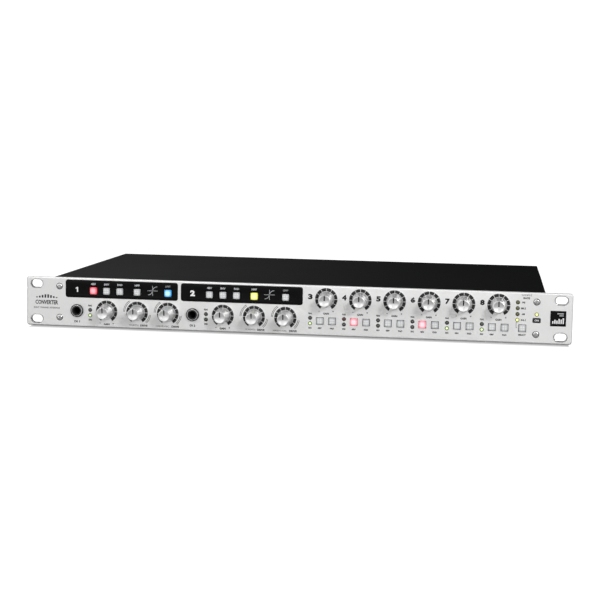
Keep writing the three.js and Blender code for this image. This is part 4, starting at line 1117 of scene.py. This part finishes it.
# a pale label with plain bars, and an earth screw with its sign
labelLook = {"x": -138.7, "z": 20, "size": (20, 8), "pitch": 1.3, "barHeight": 3.6,
             "bars": (0.6, 0.3, 0.3, 0.6, 0.9, 0.3, 0.6, 0.3, 0.9, 0.3, 0.6, 0.3)}
labelX, labelZ, labelFace = labelLook["x"], labelLook["z"], rearY + 0.08
labelSheet = sheetShape(roundedLine(labelX, labelZ, *labelLook["size"], 0.8), [], rearY - 0.05, labelFace, 0.02)
labelShapes = [(labelSheet, "inkPale")]
for i, wide in enumerate(labelLook["bars"]):
    bar = inkBar(labelX - 7.2 + labelLook["pitch"] * i, labelZ - 1, wide, labelLook["barHeight"], labelFace)
    labelShapes.append((bar, "inkBlack"))
labelShapes.append((lettering("SERIAL", labelX, labelZ + 2.4, 1.2, labelFace, 6, 0.03, True), "inkBlack"))
newPiece("rear_label", labelShapes, "case")
earthLook = {"spot": (-107, rearY, 8.2), "signX": -100.5, "bars": (3.2, 2.1, 1.0), "line": 0.35}
earthX, earthZ, line = earthLook["signX"], earthLook["spot"][2], earthLook["line"]
earthShapes = [screwShape(earthLook["spot"], 2.7, 1.0, 1.2, 0.8, "nickel", backward),
               (ringShape(earthLook["spot"], 2.4, 3.9, -0.3, 0.45, 0.15, 32), "nickel"),
               (inkBar(earthX, earthZ + 1.1, line, 2.2, rearY), "inkWhite")]
for i, wide in enumerate(earthLook["bars"]):
    earthShapes.append((inkBar(earthX, earthZ - i * 0.9, wide, line, rearY), "inkWhite"))
newPiece("earth_screw", earthShapes, "case")

# black fixings behind, at the sides and underneath
fixLook = {"radius": 2.3, "proud": 0.7, "underProud": 0.2, "socket": 1.05, "socketDepth": 0.6, "sideY": (-112, 0, 112),
           "sideZ": 6.5, "rear": [(184.3, 40.6), (74.7, 40.6), (-34, 40.6), (-138.7, 40.6), (-210.5, 38), (-210.5, 6),
                                 (184.3, 3.6), (-34, 3.6)],
           "under": [(-206, -112), (206, -112), (-206, 112), (206, 112), (0, -112), (0, 112)]}


def fixing(name, spot, matrix, proud=fixLook["proud"]):
    screw = screwShape(spot, fixLook["radius"], proud, fixLook["socket"], fixLook["socketDepth"], "blackScrew", matrix)
    newPiece(name, [screw], "case")


for i, (x, z) in enumerate(fixLook["rear"], 1):
    fixing(f"rear_screw_{i}", (x, rearY, z), backward)
for side, sideName in ((-1, "left"), (1, "right")):
    for i, y in enumerate(fixLook["sideY"], 1):
        fixing(f"side_screw_{sideName}_{i}", (side * coverHigh.x, y, fixLook["sideZ"]),
               Matrix.Rotation(side * math.pi / 2, 3, "Y"))
for i, (x, y) in enumerate(fixLook["under"], 1):
    fixing(f"under_screw_{i}", (x, y, 0), Matrix.Rotation(math.pi, 3, "X"), fixLook["underProud"])
print("rear finished")

# stage, light and view
stageLook = {"halfSize": 1.5, "floorTone": 0.12, "floorLift": 1.05, "bounce": 0.3, "behindGlow": 1.6, "glowEnd": 0.4,
             "shade": 0.32, "shadeReach": 18, "shadeInset": (5, 3), "shadeEnds": 20}
white = (1, 1, 1, 1)
floorShape = bmesh.new()
bmesh.ops.create_grid(floorShape, x_segments=2, y_segments=2, size=stageLook["halfSize"])
bmesh.ops.translate(floorShape, vec=(0, -0.3, -0.0003), verts=floorShape.verts)
floorData = bpy.data.meshes.new("floor")
floorShape.to_mesh(floorData)
floorShape.free()
floor = bpy.data.objects.new("floor", floorData)
scene.collection.objects.link(floor)
floorFinish, floorTree, seenFloor, floorPlace = newMaterial("paleFloor", {
    "Base Color": (*[stageLook["floorTone"]] * 3, 1), "Roughness": 0.9, "Specular IOR Level": 0.05,
    "Emission Color": white})
# a narrow shadow is painted on the floor along the panel's foot
footLow = Vector((panelLow.x + stageLook["shadeInset"][0], faceY, 0)) * mm
footHigh = Vector((panelHigh.x - stageLook["shadeInset"][1], panelHigh.y, 0)) * mm
fromFoot = floorPlace
for operation, value in (("SUBTRACT", (footLow + footHigh) / 2), ("ABSOLUTE", (0, 0, 0)),
                         ("SUBTRACT", (footHigh - footLow) / 2), ("MAXIMUM", (0, 0, 0)),
                         ("MULTIPLY", (stageLook["shadeEnds"], 1, 0))):
    fromFoot = vectorMath(floorTree, operation, fromFoot, value)
footReach = vectorMath(floorTree, "LENGTH", fromFoot, result="Value")
footShade = smoothed(floorTree, footReach, 0, stageLook["shadeReach"] * mm, stageLook["shade"], 1)
feed(floorTree, seenFloor, {"Emission Strength": mathOf(floorTree, "MULTIPLY", footShade, stageLook["floorLift"])})
# the floor is seen white, but throws back little light in front, and lights the sockets from below behind
floorY = addNode(floorTree, "SeparateXYZ", {"Vector": floorPlace}).outputs["Y"]
glowBehind = ranged(floorTree, floorY, rearY * mm, stageLook["glowEnd"], 0, stageLook["behindGlow"])
floorBounce = addNode(floorTree, "BsdfPrincipled", {
    "Base Color": (*[stageLook["bounce"]] * 3, 1), "Roughness": 1, "Specular IOR Level": 0, "Emission Color": white,
    "Emission Strength": glowBehind})


# one shader where the camera sees it, another for every other ray
def seenOrNot(tree, seen, unseen):
    cameraRay = addNode(tree, "LightPath").outputs["Is Camera Ray"]
    return addNode(tree, "MixShader", {"Fac": cameraRay, 1: unseen.outputs[0], 2: seen.outputs[0]}).outputs["Shader"]


feed(floorTree, floorTree.nodes["Material Output"], {"Surface": seenOrNot(floorTree, seenFloor, floorBounce)})
floorData.materials.append(floorFinish)

# the room is bright in front, dim overhead and dark behind, and plain white where it is seen directly
roomLook = {"front": 0.88, "frontLeft": 1.55, "right": 0.35, "behind": 0.0, "overhead": 0.35, "left": 0.2, "seen": 1.1}
world = bpy.data.worlds.new("studio")
scene.world = world
world.use_nodes = True
room = world.node_tree
room.nodes.clear()
x, y, z = addNode(room, "SeparateXYZ", {"Vector": addNode(room, "TexCoord").outputs["Generated"]}).outputs
frontToBack = smoothed(room, y, -0.3, 0.4, roomLook["front"], roomLook["behind"])
upward = smoothed(room, z, 0.15, 0.8, 1, roomLook["overhead"])
slant = smoothed(room, x, -0.42, 0.05, roomLook["frontLeft"], 1)
leftGlow = smoothed(room, x, -0.4, 0.03, roomLook["left"], 0)
rightGlow = smoothed(room, x, 0.25, 0.85, 0, roomLook["right"])
frontGlow = mathOf(room, "MULTIPLY", mathOf(room, "MULTIPLY", frontToBack, upward), slant)
roomGlow = mathOf(room, "ADD", frontGlow, mathOf(room, "ADD", leftGlow, rightGlow))
studioLight = addNode(room, "Background", {"Color": white, "Strength": roomGlow})
seenLight = addNode(room, "Background", {"Color": white, "Strength": roomLook["seen"]})
addNode(room, "OutputWorld", {"Surface": seenOrNot(room, seenLight, studioLight)})

# place, aim point, size and watts of each soft light
lights = {
    "overhead": {"place": (-0.4, -0.3, 1.5), "aim": (0, -0.1, 0), "size": (1.5, 0.6), "power": 8},
    "frontRight": {"place": (1.3, -2.1, 1.15), "aim": (0, -0.13, 0.02), "size": (0.5, 0.5), "power": 27},
}
for name, look in lights.items():
    lightData = bpy.data.lights.new(name, "AREA")
    lightData.shape = "RECTANGLE"
    lightData.size, lightData.size_y = look["size"]
    lightData.energy = look["power"]
    light = bpy.data.objects.new(name, lightData)
    light.location = look["place"]
    light.rotation_euler = (Vector(look["aim"]) - Vector(look["place"])).to_track_quat("-Z", "Y").to_euler()
    scene.collection.objects.link(light)
scene.view_settings.view_transform = "Standard"

bpy.context.view_layer.update()
print("scene ready")
